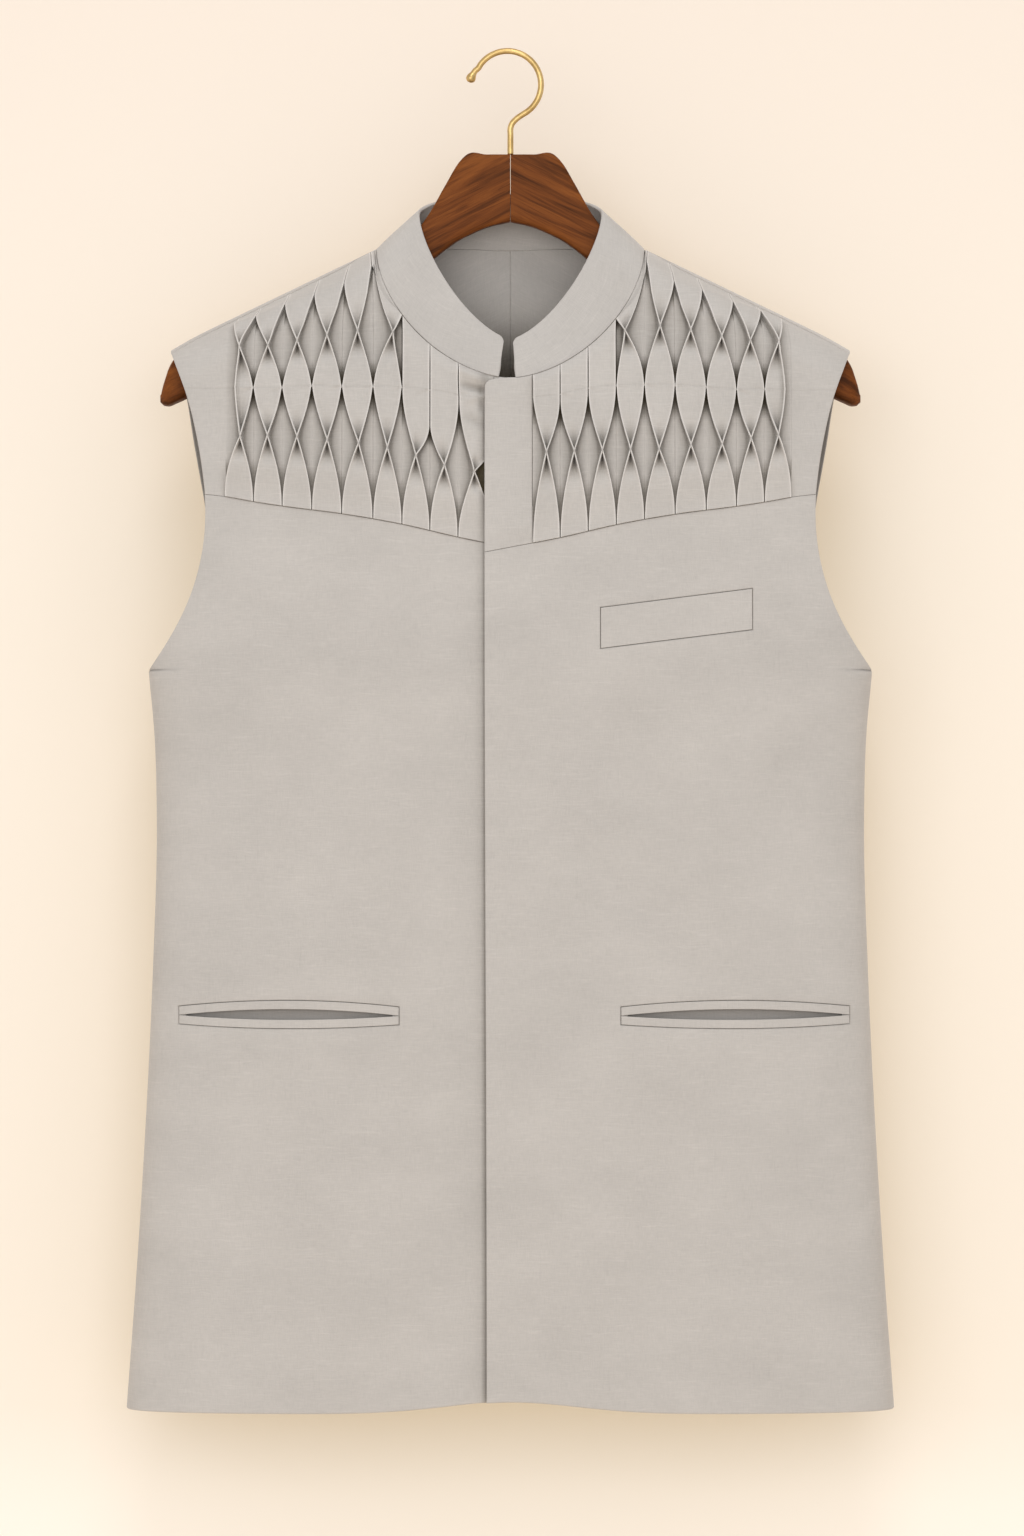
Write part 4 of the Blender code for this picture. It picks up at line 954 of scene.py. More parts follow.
def yoke(word, side):
    """The whole yoke as one grid: columns from the closing to the armhole, rows from seam to seam."""
    down = np.concatenate([i + np.arange(count) / count for i, count in enumerate(BANDS)] + [[5]])
    down = np.concatenate([0 * EDGE_STEPS, down[1:-1], 0 * EDGE_STEPS + 5])
    middle = np.zeros(len(down) - 2 * len(EDGE_STEPS))
    edge = EDGE_STEPS / EDGE_STEPS[-1]
    lead_in = np.concatenate([edge, middle + 1, 0 * edge + 1])[:, None]
    run_out = np.concatenate([0 * edge, middle, 1 - edge[::-1]])[:, None]
    pleated = [[], [], []]
    for pleat in range(PLEATS):
        for half in (-1, 1):
            for whole, part in zip(pleated, pleat_half(pleat, half, down, side)):
                part = list(part[::-half])
                whole += part[1:] if whole else part
    xs, lifts, tones = pleated
    start = STRIP_INNER + SEAM if side > 0 else UNDER_STRIP
    lead = [start + step for step in EDGE_STEPS[:4]] + ([] if side > 0 else list(PLAIN_COLUMNS))
    tail = len(MARGIN) + len(EDGE_STEPS)
    fade = np.append(1 - ease(MARGIN / 0.3), 0 * EDGE_STEPS)
    last = xs[-1]
    x = np.array([at + 0 * down for at in lead] + xs + [last] * tail).T
    lift = np.array([0 * down] * len(lead) + lifts + [lifts[-1] * share for share in fade]).T
    tone = np.array([0 * down] * len(lead) + tones + [0 * down] * tail).T
    band = np.minimum(down.astype(int), len(BANDS) - 1)[:, None]
    row, column = np.arange(len(down))[:, None], np.arange(x.shape[1])[None, :]
    for _ in range(FITTING_PASSES):
        runs = run_at(x, np.array(yoke_lines(x, side)))
        one, two = runs[band, row, column], runs[band + 1, row, column]
        room = two - one
        first = np.minimum(EDGE_STEPS[-1], room / 2) * (band == 0)
        final = EDGE_STEPS[-1] * (band == len(BANDS) - 1)
        run = one + first * lead_in + (room - first - final) * (down[:, None] - band) + final * run_out
        base = yoke_base(x, run, side)
        z = base[..., 2]
        reach = armhole(z[:, -1:], -1)
        x[:, -len(EDGE_STEPS):] = reach - EDGE_STEPS[::-1]
        x[:, -tail:-len(EDGE_STEPS)] = last[:, None] + MARGIN * (reach - last[:, None] - EDGE_STEPS[-1])
    across = yoke_base(x + 0.5, run, side) - yoke_base(x - 0.5, run, side)
    along = yoke_base(x, run + 0.5, side) - yoke_base(x, run - 0.5, side)
    normal = unit(np.cross(along, across) * side)
    if side < 0:
        pushed = folds(-x, z, NECK_PUCKERS)
        lift = lift * ease((x - PLEATED_FROM) / 9) + pushed
        # painted shade in the puckers' hollows and beside the strip
        tone = tone * ease((x - PLEATED_FROM) / 3) + PUCKER_PAINTED_SHADE * np.minimum(pushed, 0)
        tone = tone - STRIP_SHADE * np.exp(-((x + LAP_EDGE[0] + 0.8) / 3) ** 2)
    press_and_painted_light = np.exp(-((down[:, None] - 3) / 0.016) ** 2)
    lift = lift + folds(side * x, z, node_puckers(side)) - PRESS_LINE * press_and_painted_light
    # painted shade along the touch row's press line
    tone = tone - PRESS_PAINTED_SHADE * press_and_painted_light * (tone < 0.2) * (x > -LAP_EDGE[0] - 0.3)
    rolls = edge_rolls(len(down), SEAM_ROUND, SEAM_ROUND), edge_rolls(x.shape[1], SEAM_ROUND, EDGE_ROUND)
    return cloth("yoke_" + word + "_smocked", base, normal, rolls, (side * x, shoulder(x) - run), lift=lift,
                 painted_light=tone, thin=4)


for word, side in SIDES:
    yoke_piece = yoke(word, side)
    dress(yoke_piece, cloth_linen, "linen", "yoke_" + word)

# ---- Smocking stitches ---------------------------------------------------------------------------
# Linen thread: a double tack over every pair of folds that is caught together, and a line of small
# running stitches along the touch row, which held the pleats while they were pressed.

TACK_THREAD, RUNNING_THREAD = 0.13, 0.055
TACK_REACH = 0.62
TACK_GAP = 0.22           # each of the two threads of a tack lies so far from its middle
STITCH, STITCH_STEP = 1.0, 2.4
THREAD_SIDES = 6


def tubes(name, paths, radius):
    """Round threads along short paths of points in millimetres, as one mesh; each is thinner at its
    two ends and closed there."""
    paths = np.asarray(paths, float)
    along = unit(np.gradient(paths, axis=1))
    across = unit(np.cross(along, [0.0, -1.0, 0.0]))
    outward = np.cross(across, along)
    angle = np.linspace(0, 2 * pi, THREAD_SIDES, endpoint=False)[:, None]
    count, stations = paths.shape[:2]
    taper = np.ones(stations)
    taper[[0, -1]] = 0.5
    ring = paths[:, :, None] + radius * taper[None, :, None, None] * (
        np.cos(angle) * across[:, :, None] + np.sin(angle) * outward[:, :, None])
    numbers = np.arange(count * stations * THREAD_SIDES).reshape(count, stations, THREAD_SIDES)
    sides = quads(np.append(numbers, numbers[..., :1], axis=-1)).reshape(-1, 4)
    ends = np.concatenate([numbers[:, 0, ::-1], numbers[:, -1]])
    return mesh_piece(name, ring.reshape(-1, 3) * MM, sides.tolist() + ends.tolist())


def on_yoke(x, z, side, lift):
    """Points over a yoke's base at a distance from the middle and a height, moved forward."""
    base = yoke_base(np.asarray(x, float), run_at(x, z), side)
    base[..., 1] -= lift
    return base


def stitch_paths(side):
    """Tacks over each pinch and touch, two threads each, and the running stitches between them."""
    tacks, running = [], []
    reach = np.linspace(-1, 1, 5)
    rows = ((2, ONCE_PINCHED, FOLD_HEIGHT[1], 0), (4, 0, FOLD_HEIGHT[1], 0), (3, 1, FOLD_HEIGHT[0], 1))
    for row, first, high, touching in rows:
        for pleat in range(first, len(VALLEYS[side]) - 1):
            down = np.array([float(row)])
            x = hollow_at(pleat, down, side)[0] if touching else pleat_width(pleat, 1, down, side)[0][0]
            z = yoke_lines(np.array([x]), side)[row][0]
            for drop in (-TACK_GAP, TACK_GAP):
                at = x + TACK_REACH * reach
                bow = high + 0.12 - (0.9 if touching else 0.7) * np.abs(reach) ** 3
                tacks.append(on_yoke(at, z + drop + 0.15 * np.sin(7 * x) * reach, side, bow))
    down = np.array([3.0])
    for pleat in range(PLEATS):
        centre, room, _ = (value[0] for value in pleat_width(pleat, 1, down, side))
        for at in np.arange(-room + 2.2, room - 2.2 + 0.1, STITCH_STEP):
            x = centre + at + STITCH * reach / 2
            high = FOLD_HEIGHT[0] + 0.03 + CROWN * (1 - (at / room) ** 2) - 0.14 * reach ** 4
            running.append(on_yoke(x, yoke_lines(x, side)[3], side, high))
    return tacks, running


thread, thread_shader, _ = new_material("linen_thread")
feed(thread_shader, {"Base Color": (0.46, 0.42, 0.375, 1), "Roughness": 0.7, "Sheen Weight": 0.2})
for word, side in SIDES:
    tacks, running = stitch_paths(side)
    dress(tubes("smocking_tacks_" + word, tacks, TACK_THREAD), thread, "linen")
    dress(tubes("running_stitches_" + word, running, RUNNING_THREAD), thread, "linen")

# ---- Button strip --------------------------------------------------------------------------------
# A plain strip that covers the buttons at the height of the yoke. It is faced, so it is a little
# thicker than the cloth beside it, and its free corner under the collar is rounded.

STRIP_TOP_Z = (-209.9, -207.7)   # at the free corner, and where the neck seam starts
STRIP_TOP_BOW = 0.7
STRIP_CORNER = 4.2
STRIP_PROUD = 0.9
STRIP_GRID = (60, 20)
BUTTON_PUFF = (-6, -219, 0.5)   # x, z and height of the swelling over the top button
COLLAR_ENDS = {-1: (7.3, 3.5), 1: (3.2, 1.0)}   # run of the neck seam, and of the collar's top, left free


def button_strip():
    """The strip between the neck seam, which it passes on the free side, and the yoke seam."""
    share, step, roll_across = turned(STRIP_GRID[1], last=SEAM_ROUND)
    x = (LAP_EDGE[0] + (STRIP_INNER - LAP_EDGE[0]) * share + step)[None, :]
    share, step, roll_down = turned(STRIP_GRID[0], last=SEAM_ROUND)
    share, step = share[:, None], step[:, None]
    free = COLLAR_ENDS[1][0]
    along = (x - LAP_EDGE[0]) / (free - LAP_EDGE[0])
    top = np.where(x < free, STRIP_TOP_Z[0] + (STRIP_TOP_Z[1] - STRIP_TOP_Z[0]) * along, neck(x) - SEAM)
    top = top + STRIP_TOP_BOW * np.sin(pi * np.clip(along, 0, 1))
    corner = np.clip(1 - (x - LAP_EDGE[0]) / STRIP_CORNER, 0, 1)
    top = top - STRIP_CORNER * (1 - np.sqrt(1 - corner ** 2))
    bottom = yoke_seam(x) + SEAM
    z = top + (bottom - top) * share - step
    x = x + 0 * z
    proud = STRIP_PROUD * ease((x - LAP_EDGE[0]) / 20) * ease((z - bottom) / 12)
    puff_x, puff_z, puff = BUTTON_PUFF
    puff = puff * np.exp(-((x - puff_x) / 9) ** 2 - ((z - puff_z) / 7) ** 2)
    grid = np.stack([x, oval(x, z, -1) - closing(x, 1) - proud - puff, z], axis=-1)
    return cloth("button_strip_cloth", grid, normals(grid, (0, -1, 0)), (roll_down, roll_across), (x, z))


strip = button_strip()
dress(strip, cloth_linen, "linen", "button_strip")

# ---- Backs ---------------------------------------------------------------------------------------
# Two plain panels, joined by a seam down the middle of the back. They run over the top of the
# shoulder to the seam just in front of it, and their inner side shows through the neck.

BACK_NECK_Z, BACK_NECK_BOW = -122.6, 1.8
BACK_LEVEL_Z = -250.0
BACK_ROWS = (46, 26, 60)  # down to the level line, to the underarm and to the hem
BACK_COLUMNS = (54, 26)   # on the flat of the back and round the turn
BACK_FIXED = 0.8          # share of the half width from which the columns go evenly round the turn
BACK_EDGE_PAINTED_SHADE = -1.3     # painted shade along the faced edge of the armhole
NECK_SHADE = -2.9         # and painted shade on the inner side, deep down inside the neck
NECK_SHADE_FROM, NECK_SHADE_TO = -152.0, -420.0
BACK_CUT_AT = 400         # the backs are cut beside the fronts, so their threads are other ones
BACK_FOLDS = {
    # side: from x, z to x, z, width, height
    -1: [(-150, -200, -90, -330, 20, 0.9), (-60, -260, -50, -520, 24, -0.8),
         (-118, -420, -124, -700, 22, 0.8), (-190, -430, -140, -520, 16, -0.7),
         (-176, -620, -186, -846, 20, -0.8), (-70, -600, -66, -850, 20, 0.8),
         (-24, -330, -20, -640, 12, 0.4), (-120, -740, -124, -852, 16, -0.6)],
    1: [(158, -204, 96, -318, 18, 0.8), (66, -280, 54, -560, 22, -0.9), (124, -440, 120, -720, 24, 0.7),
        (188, -420, 146, -530, 15, -0.8), (182, -600, 190, -846, 18, -0.7), (78, -620, 74, -850, 22, 0.7),
        (26, -360, 22, -600, 12, 0.4), (130, -730, 132, -852, 18, -0.5)],
}


def back_neck(x):
    """Height of the back neck seam, which bows up a little between the middle and the neck points."""
    share = x / NECK_POINT
    level = BACK_NECK_Z + (NECK_POINT_Z - BACK_NECK_Z) * ease(share)
    return level + BACK_NECK_BOW * np.sin(pi * share) ** 2


def back_panel(word, side):
    """Half the back: rows go down the cloth to a level line, and by height below it."""
    share = np.linspace(0, BACK_FIXED, BACK_COLUMNS[0] + 1)[1:]
    neck_share = NECK_POINT / SHOULDER_TIP
    to_neck = neck_share - share[np.argmin(np.abs(share - neck_share))]
    share = share + to_neck * np.exp(-((share - neck_share) / 0.05) ** 2)
    spread = np.linspace(1, 0, BACK_COLUMNS[1] + 2)[1:-1]
    down = np.concatenate([i + np.arange(count) / count for i, count in enumerate(BACK_ROWS)])
    down = np.where(down < 1, down ** 1.25, down)
    drop = np.concatenate([EDGE_STEPS, 0 * down[1:], -EDGE_STEPS[::-1]])[:, None]
    down = np.concatenate([0 * EDGE_STEPS, down[1:], 0 * EDGE_STEPS + 3])[:, None]
    rows, columns = len(down), len(share) + len(spread) + 2 * len(EDGE_STEPS)
    x = np.linspace(0, 200, columns) + 0 * down
    for _ in range(FITTING_PASSES + 2):
        neck_run = run_at(x, back_neck(np.clip(x, 0, NECK_POINT)) - SEAM)
        seam_run = -run_at(x, shoulder(x) - forward_seam(x))
        top = np.where(x < NECK_POINT - 0.01, neck_run, seam_run)
        stop = run_at(x, BACK_LEVEL_Z)
        run = np.where(down <= 1, top + (stop - top) * down + np.where(down < 1, drop, 0), stop)
        upper = section(x, run, 1)
        z = np.select([down < 1, down <= 2],
                      [upper[..., 2], BACK_LEVEL_Z + (UNDERARM_Z - BACK_LEVEL_Z) * (down - 1)],
                      UNDERARM_Z + (HEM_Z - UNDERARM_Z) * (down - 2) - np.where(down > 2, drop, 0))
        level = z[:, -1:]
        edge = armhole(level, 1)
        x = np.concatenate([EDGE_STEPS + 0 * edge, share * edge,
                            round_the_turn(BACK_FIXED * edge, edge, spread, level, 1)], axis=1)
    y = np.where(down < 1, upper[..., 1], oval(x, z, 1))
    y = np.where(down >= 2, np.maximum(y, SEAM), y)
    run = np.where(down < 1, run, run_at(x, z))
    y = y + folds(side * x, z, BACK_FOLDS[side]) * ease((run - 20) / 40)
    base = np.stack([side * np.maximum(x, 0), y, z], axis=-1)
    # painted shade along the armhole's edge, and on the inner side down inside the neck
    in_armhole = ease((z - UNDERARM_Z) / 60) * ease((-200 - z) / 12)
    armhole_painted_shade = BACK_EDGE_PAINTED_SHADE * ease(1 - (armhole(z, 1) - x) / 9) * in_armhole
    shade = NECK_SHADE * ease((NECK_SHADE_FROM - z) / 56) * ease((150 - x) / 60)
    shade = shade * ease((z - NECK_SHADE_TO) / 60)
    return cloth("back_" + word + "_cloth", base, normals(base, (0, 1, 0.1)),
                 (edge_rolls(rows, SEAM_ROUND, EDGE_ROUND), edge_rolls(columns, SEAM_ROUND, SEAM_ROUND)),
                 (side * x + BACK_CUT_AT, -run), thin=2, painted_light=armhole_painted_shade, inner_painted_shade=np.minimum(armhole_painted_shade, shade))


for word, side in SIDES:
    back = back_panel(word, side)
    dress(back, cloth_linen, "linen", "back_" + word)

# ---- Collar --------------------------------------------------------------------------------------
# A stiffened standing band round the neck, cut along the grain, so that its weave runs at a slant
# where the band goes round. Its front ends are rounded off and do not quite meet.

COLLAR_WALL = 2.2
COLLAR_CORNER = 5.0
COLLAR_TOP_HALF = 58.3    # the upper edge: half its width, its heights and its reach to front and back
COLLAR_SIDE_Z, COLLAR_FRONT_Z, COLLAR_BACK_Z = -100.0, -182.5, -87.0
COLLAR_TOP_FRONT_Y, COLLAR_TOP_BACK_Y = -30.0, 17.0
COLLAR_ROUNDNESS = 1.47
COLLAR_BULGE = 1.0
COLLAR_STEPS = (84, 40)
COLLAR_ROWS = 18
COLLAR_GRAIN = 12         # slant of its weave, in degrees
COLLAR_CUT_AT = 900       # where it is cut from the cloth
SQUARER = 0.8             # a little squarer than an ellipse


def lengths_along(points):
    """Distance along a line of points to each of them."""
    return np.append(0, np.cumsum(np.linalg.norm(np.diff(points, axis=0), axis=1)))


def at_lengths(points, start, shares):
    """Points along a dense curve, at shares of its length from start to its end."""
    run = lengths_along(points)
    at = (start + (1 - start) * shares) * run[-1]
    return np.stack([np.interp(at, run, points[:, i]) for i in range(3)], axis=-1)


def collar_half(side):
    """Lower and upper edge of the band, and how far it is drawn in, from its front end to the middle
    of the back. The lower edge follows the neck seam; the upper one is a superellipse in front and an
    ellipse behind."""
    angle = np.linspace(pi / 2, 0, 3000)
    back_angle = angle[::-1]
    power = 2 / COLLAR_ROUNDNESS
    front_x = NECK_POINT * np.cos(angle) ** (2 / NECK_ROUNDNESS)
    back_x = NECK_POINT * np.cos(back_angle) ** SQUARER
    low_front = section(front_x, run_at(front_x, neck(front_x)), -1)
    low_back = section(back_x, run_at(back_x, back_neck(back_x)), 1)
    high_front = np.stack([COLLAR_TOP_HALF * np.cos(angle) ** power,
                           COLLAR_TOP_FRONT_Y * np.sin(angle) ** SQUARER,
                           COLLAR_SIDE_Z + (COLLAR_FRONT_Z - COLLAR_SIDE_Z) * np.sin(angle) ** power], -1)
    high_back = np.stack([COLLAR_TOP_HALF * np.cos(back_angle),
                          COLLAR_TOP_BACK_Y * np.sin(back_angle) ** SQUARER,
                          COLLAR_SIDE_Z + (COLLAR_BACK_Z - COLLAR_SIDE_Z) * np.sin(back_angle)], -1)
    lengths = [lengths_along(curve)[-1] for curve in (low_front, high_front)]
    corner = COLLAR_CORNER / lengths[0]
    steps = np.concatenate([EDGE_STEPS / lengths[0], np.array([0.35, 0.5, 0.7]) * corner,
                            np.linspace(corner, 1, COLLAR_STEPS[0])])
    low = at_lengths(low_front, COLLAR_ENDS[side][0] / lengths[0], steps)
    high = at_lengths(high_front, COLLAR_ENDS[side][1] / lengths[1], steps)
    off = np.clip(1 - steps / corner, 0, 1)
    cut = COLLAR_CORNER * (1 - np.sqrt(1 - off ** 2))
    high = high + (low - high) * (cut / np.linalg.norm(high - low, axis=1))[:, None]
    back = np.linspace(0, 1, COLLAR_STEPS[1])
    low = np.concatenate([low, at_lengths(low_back, 0, back)[1:]])
    high = np.concatenate([high, at_lengths(high_back, 0, back)[1:]])
    roll = np.append(rolled(EDGE_STEPS, EDGE_ROUND), np.zeros(len(low) - len(EDGE_STEPS)))
    return low * [side, 1, 1], high * [side, 1, 1], roll


low, high, end_roll = (np.concatenate([right, left[::-1][1:]])
                       for right, left in zip(collar_half(-1), collar_half(1)))
tall = np.linalg.norm(high - low, axis=1)[None, :]
share, step, roll_up = turned(COLLAR_ROWS, SEAM_ROUND)
up = share[:, None] + (step[:, None] + SEAM * (1 - share[:, None])) / tall
grid = low + (high - low) * up[..., None]
away = unit(grid * [1, 1, 0])
grid = grid + away * (COLLAR_BULGE * np.sin(pi * np.clip(up, 0, 1)))[..., None]
run = lengths_along((low + high) / 2)
collar = cloth("collar_band", grid, normals(grid, away), (roll_up, end_roll),
               (run + COLLAR_CUT_AT, up * tall), wall=COLLAR_WALL)
dress(collar, linen("linen_collar", LINEN_COLOUR, turn=radians(COLLAR_GRAIN)), "linen", "collar")

# ---- Chest welt ----------------------------------------------------------------------------------
# A flat slanting welt on the wearer's left breast: a folded strip sewn into a bed in the front.

WELT_WALL = 1.15
WELT_PROUD = 0.12
WELT_GRID = (16, 48)
WELT_CUT_AT = (60, 33)    # it is cut from another place, so its threads don't run on into the front's


def on_front(x, z, lift):
    """Points over a front, moved forward by the lift."""
    side = 1 if np.mean(x) > 0 else -1
    y = oval(x, z, -1) - closing(x, side) - folds(x, z, FRONT_FOLDS[side]) - lift
    return np.stack([x, y, z], axis=-1)


def strip_on_front(name, ends, top, bottom, grid, lift=WELT_PROUD):
    """A strip of cloth on a front between two lines that run from one end to the other; grid is the
    number of its rows and columns."""
    share, step, roll_across = turned(grid[1], SEAM_ROUND, SEAM_ROUND)
    x = ends[0] + (ends[1] - ends[0]) * share + step * np.sign(ends[1] - ends[0])
    share, step, roll_down = turned(grid[0], SEAM_ROUND, SEAM_ROUND)
    x = x[None, :] + 0 * share[:, None]
    high, low = top(x), bottom(x)
    z = high + (low - high) * share[:, None] - step[:, None]
    base = on_front(x, z, lift)
    return cloth(name, base, normals(base, (0, -1, 0)), (roll_down, roll_across),
                 (x + WELT_CUT_AT[0], z + WELT_CUT_AT[1]), wall=WELT_WALL)


welt = strip_on_front("chest_welt_cloth", (CHEST_WELT[0][0], CHEST_WELT[1][0]),
                      lambda x: welt_line(x, 1), lambda x: welt_line(x, 2), WELT_GRID)
dress(welt, cloth_linen, "linen", "chest_welt")

# ---- Hip pockets ---------------------------------------------------------------------------------
# Jetted pockets: two narrow folded lips over a cut in the front, which bow apart a little, and the
# pocket cloth that shows between them.

LIP_GAP = 0.12
LIPS = (("upper", HIP_WELT, LIP_GAP), ("lower", -LIP_GAP, -HIP_WELT))   # top and bottom of each
BACKING_HEIGHT = 20.0
BACKING_SHORT = 2.5
BACKING_BEHIND = 1.3      # behind the front's wall
LIP_GRID, BACKING_GRID = (4, 70), (10, 40)
# the pocket cloth is a darker copy of the linen: painted shade for the inside of the pocket
POCKET_PAINTED_SHADE = 0.62
pocket_linen_in_painted_shade = linen("linen_pocket_cloth_painted_shade", tuple(POCKET_PAINTED_SHADE * value for value in LINEN_COLOUR))

for word, side in SIDES:
    ends = [side * end for end in HIP_POCKET[side]]
    for place, top, bottom in LIPS:
        lip = strip_on_front(word + "_" + place + "_lip_cloth", ends,
                             lambda x: hip_line(side * x, side, top),
                             lambda x: hip_line(side * x, side, bottom), LIP_GRID)
        dress(lip, cloth_linen, "linen", word + "_pocket_" + place + "_lip")
    inner, outer = HIP_POCKET[side][0] + BACKING_SHORT, HIP_POCKET[side][1] - BACKING_SHORT
    backing = strip_on_front(word + "_pocket_inside", (side * inner, side * outer),
                             lambda x: HIP_Z + BACKING_HEIGHT / 2 + 0 * x,
                             lambda x: HIP_Z - BACKING_HEIGHT / 2 + 0 * x, BACKING_GRID,
                             lift=-(WALL + BACKING_BEHIND))
    dress(backing, pocket_linen_in_painted_shade, "linen_inside", word + "_pocket_backing")

# ---- Hanger --------------------------------------------------------------------------------------
# Two curved arms of walnut, glued at the middle with the grain running down each arm, then shaped,
# sanded with softly rounded edges and lacquered.

WOOD = [
    # x, top, bottom, half thickness
    (0.15, -64.0, -106.7, 6.5),
    (15, -64.0, -110.3, 6.5),
    (28, -64.3, -116.0, 6.5),
    (33, -69.5, -118.6, 6.5),
    (41, -83.0, -124.2, 6.5),
    (52, -102.2, -133.0, 6.5),
    (60, -112.6, -139.5, 6.6),
    (72, -122.4, -148.0, 7.4),
    (85, -128.6, -157.0, 8.6),
    (130, -149.4, -180.0, 10.5),
    (175, -171.0, -203.0, 12.5),
    (200, -183.2, -215.8, 13.5),
    (212, -192.4, -221.6, 13.0),
    (217, -201.0, -223.6, 11.5),
    (220, -210.0, -223.4, 9.0),
    (221.6, -216.5, -221.8, 6.0),
]
WOOD_TIP = [(0.25, 0.96), (0.45, 0.85), (0.5, 0.6)]   # so far past the last section, share of its size
WOOD_SQUARENESS = 6.0
WOOD_STATIONS = 150
WOOD_SIDES = 56
WOOD_JOINT = 0.005        # half the glue line
WALNUT = [
    # place in the figure, colour
    (0.30, (0.052, 0.0150, 0.0028)),
    (0.50, (0.132, 0.0365, 0.0068)),
    (0.72, (0.217, 0.0650, 0.0120)),
]
GRAIN_SLOPE = 0.46


def walnut(name, slope):
    """Walnut with its grain along an arm: long stretched noise for the figure, fine dark pores, and
    a lacquer over it."""
    material, shader, add = new_material(name)
    place = add("TexCoord").outputs["Object"]
    place = add("Mapping", {"Vector": place, "Rotation": (0, slope, 0)}).outputs["Vector"]
    figure = colour_ramp(add, threads(add, place, (9, 60, 150), 6.0, 0.62, 1.2), WALNUT)
    pores = threads(add, place, (45, 900, 1500), 3.0, 0.62)
    dark = add("MapRange", {"Value": pores, "From Min": 0.52, "From Max": 0.70, "To Min": 1.0,
                            "To Max": 0.62}).outputs[0]
    grey = add("CombineColor", {0: dark, 1: dark, 2: dark}).outputs[0]
    bump = add("Bump", {"Height": pores, "Strength": 0.15, "Distance": 0.0006}).outputs["Normal"]
    feed(shader, {"Base Color": multiply(add, figure, grey), "Normal": bump, "Roughness": 0.5,
                  "Specular IOR Level": 0.08})
    return material


def shell_of_rings(name, rings):
    """A closed mesh through rings of points, with a point at the middle of each end."""
    count, sides = rings.shape[:2]
    points = np.concatenate([rings.reshape(-1, 3), rings[[0, -1]].mean(1)]) * MM
    numbers = np.arange(count * sides).reshape(count, sides)
    numbers = np.append(numbers, numbers[:, :1], axis=1)
    skin = quads(numbers).reshape(-1, 4)
    caps = np.concatenate([np.stack([edge[:-1], edge[1:], 0 * edge[1:] + count * sides + end], -1)
                           for end, edge in enumerate(numbers[[0, -1]])])
    piece = mesh_piece(name, points, skin.tolist() + caps.tolist())
    face_outward(piece.data)
    return piece


def arm(side):
    """Half the hanger: superellipse sections along x, drawn in by a quarter circle at the tip."""
    x = np.linspace(WOOD[0][0], WOOD[-1][0], WOOD_STATIONS)
    past, size = np.transpose(WOOD_TIP)
    x = np.append(x, WOOD[-1][0] + past)
    shrink = np.append(np.ones(WOOD_STATIONS), size)
    top, bottom, half_thick = (np.interp(x, *np.array(WOOD).T[[0, i]]) for i in (1, 2, 3))
    smooth = slice(2, -6)
    for values, column in ((top, 1), (bottom, 2), (half_thick, 3)):
        values[smooth] = follow(WOOD, x[smooth], column)
    angle = np.linspace(0, 2 * pi, WOOD_SIDES, endpoint=False)
    across, upward = (np.sign(wave) * np.abs(wave) ** (2 / WOOD_SQUARENESS)
                      for wave in (np.cos(angle), np.sin(angle)))
    middle, half_high = (top + bottom) / 2, (top - bottom) / 2 * shrink
    return np.stack([side * np.maximum(x, WOOD_JOINT)[:, None] + 0 * angle,
                     (half_thick * shrink)[:, None] * across,
                     middle[:, None] + half_high[:, None] * upward], -1)


for word, side in SIDES:
    wood = shell_of_rings("hanger_" + word + "_arm", arm(side))
    wood.data.set_sharp_from_angle(angle=radians(50))
    dress(wood, walnut("walnut_" + word, -side * GRAIN_SLOPE), "walnut", "hanger_" + word)

# ---- Hook ----------------------------------------------------------------------------------------
# A brass wire bent round a former, with its end rounded to a bead, screwed into the wood.

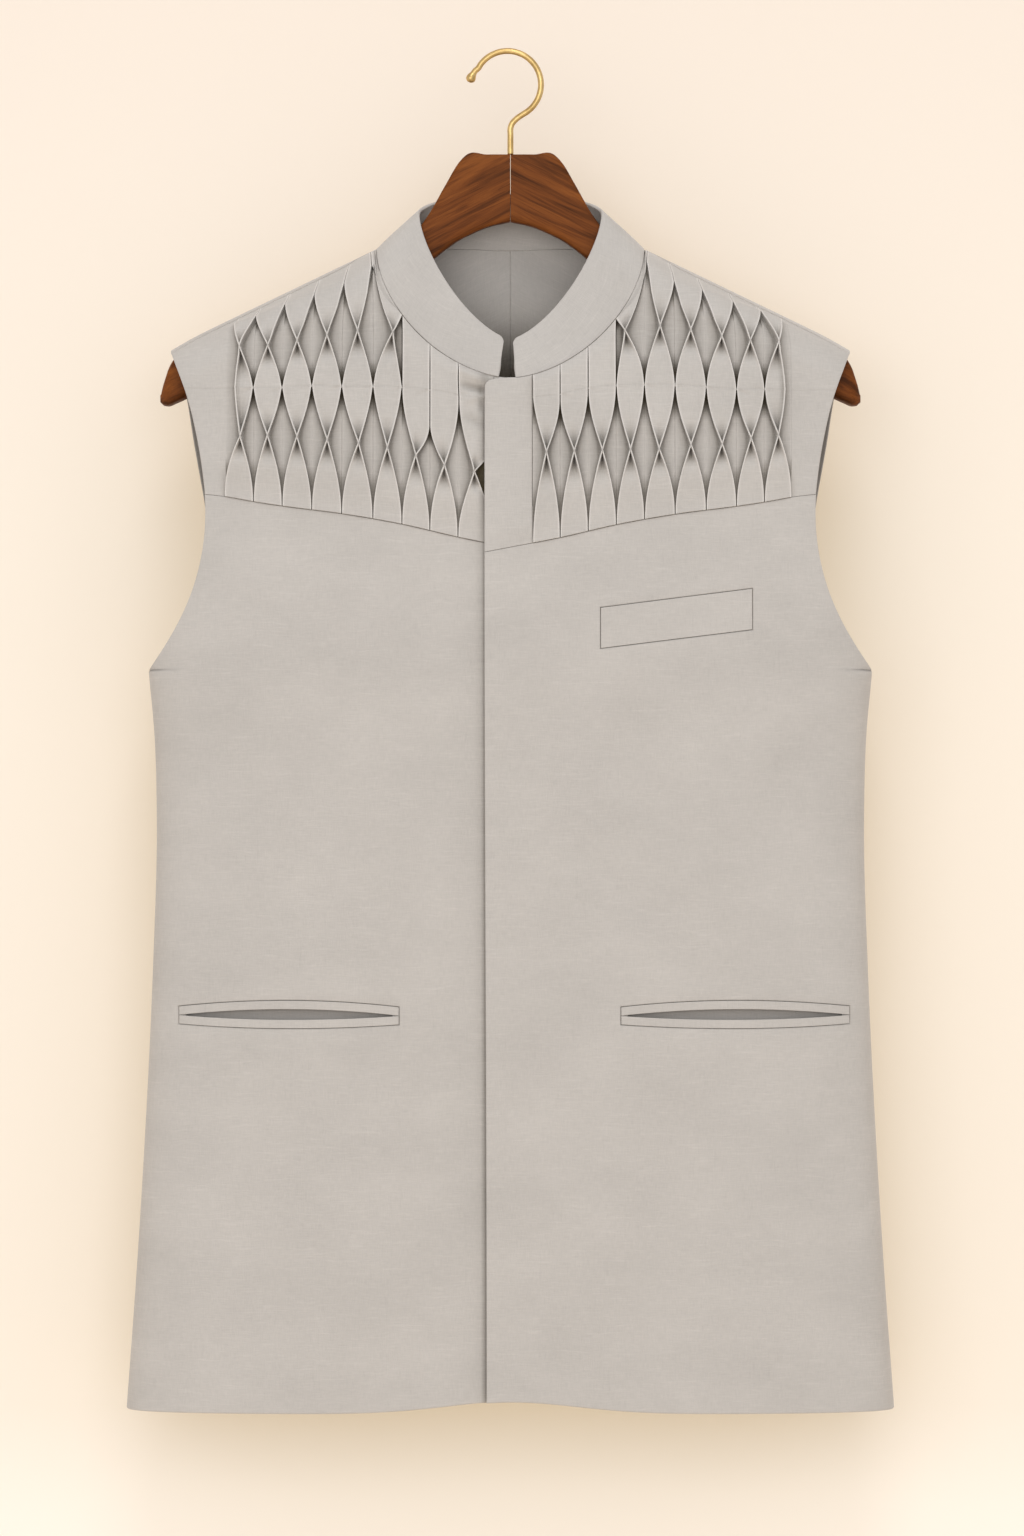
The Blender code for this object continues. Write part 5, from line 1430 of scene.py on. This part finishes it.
WIRE = 1.9
HOOK_X, HOOK_Z = -1.9, -19.4
HOOK_RADIUS = 21.3
HOOK_ARC = (-62, 152, 9.7)   # degrees: from, to, step
HOOK_STEM = [
    # x, z, share of the wire's radius
    (0, -63.8, 1),
    (0, -60, 1),
    (0, -55.0, 1),
    (0, -51, 1),
    (0, -47.5, 1),
    (1.1, -44.2, 1),
    (3.6, -41.4, 1),
]
HOOK_TIP = [
    # the same
    (-22.3, -10.6, 1.0),
    (-23.6, -12.6, 1.1),
    (-24.4, -14.0, 1.45),
    (-25.1, -15.4, 1.6),
    (-25.8, -16.8, 1.4),
    (-26.3, -17.8, 0.7),
]
HOOK_STATIONS, HOOK_SIDES = 220, 24
BRASS = [(0.3, (0.42, 0.27, 0.10)), (0.7, (0.66, 0.46, 0.19))]


def hook_rings():
    """Rings round the wire's middle line, which is smoothed from a few points by cubic steps."""
    arc = np.radians(np.arange(*HOOK_ARC))
    crown = np.stack([HOOK_X + HOOK_RADIUS * np.cos(arc), HOOK_Z + HOOK_RADIUS * np.sin(arc),
                      1 + 0 * arc], -1)
    line = np.concatenate([HOOK_STEM, crown, HOOK_TIP])
    run = lengths_along(line[:, :2])
    at = np.linspace(0, run[-1], HOOK_STATIONS)
    path = [follow(np.stack([run, line[:, i]], -1), at) for i in range(3)]
    along = unit(np.stack([np.gradient(path[0]), np.gradient(path[1])], -1))
    angle = np.linspace(0, 2 * pi, HOOK_SIDES, endpoint=False)
    radius = WIRE * path[2][:, None]
    return np.stack([path[0][:, None] - along[:, 1:] * radius * np.cos(angle),
                     radius * np.sin(angle), path[1][:, None] + along[:, :1] * radius * np.cos(angle)], -1)


def brass(name):
    """Drawn brass wire: a warm metal with fine scuffs and slightly uneven tarnish."""
    material, shader, add = new_material(name)
    place = add("TexCoord").outputs["Object"]
    tarnish = threads(add, place, (180, 180, 180), 4.0, 0.6)
    scuffs = threads(add, place, (1400, 1400, 1400), 2.0, 0.5)
    rough = add("MapRange", {"Value": scuffs, "To Min": 0.24, "To Max": 0.42}).outputs[0]
    feed(shader, {"Base Color": colour_ramp(add, tarnish, BRASS), "Roughness": rough, "Metallic": 1.0})
    return material


hook = shell_of_rings("hook_wire", hook_rings())
dress(hook, brass("drawn_brass"), "hook_brass", "hook")

# ---- Size ----------------------------------------------------------------------------------------
# The box of the dressed jacket, leaving out the backdrop.

low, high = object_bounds()
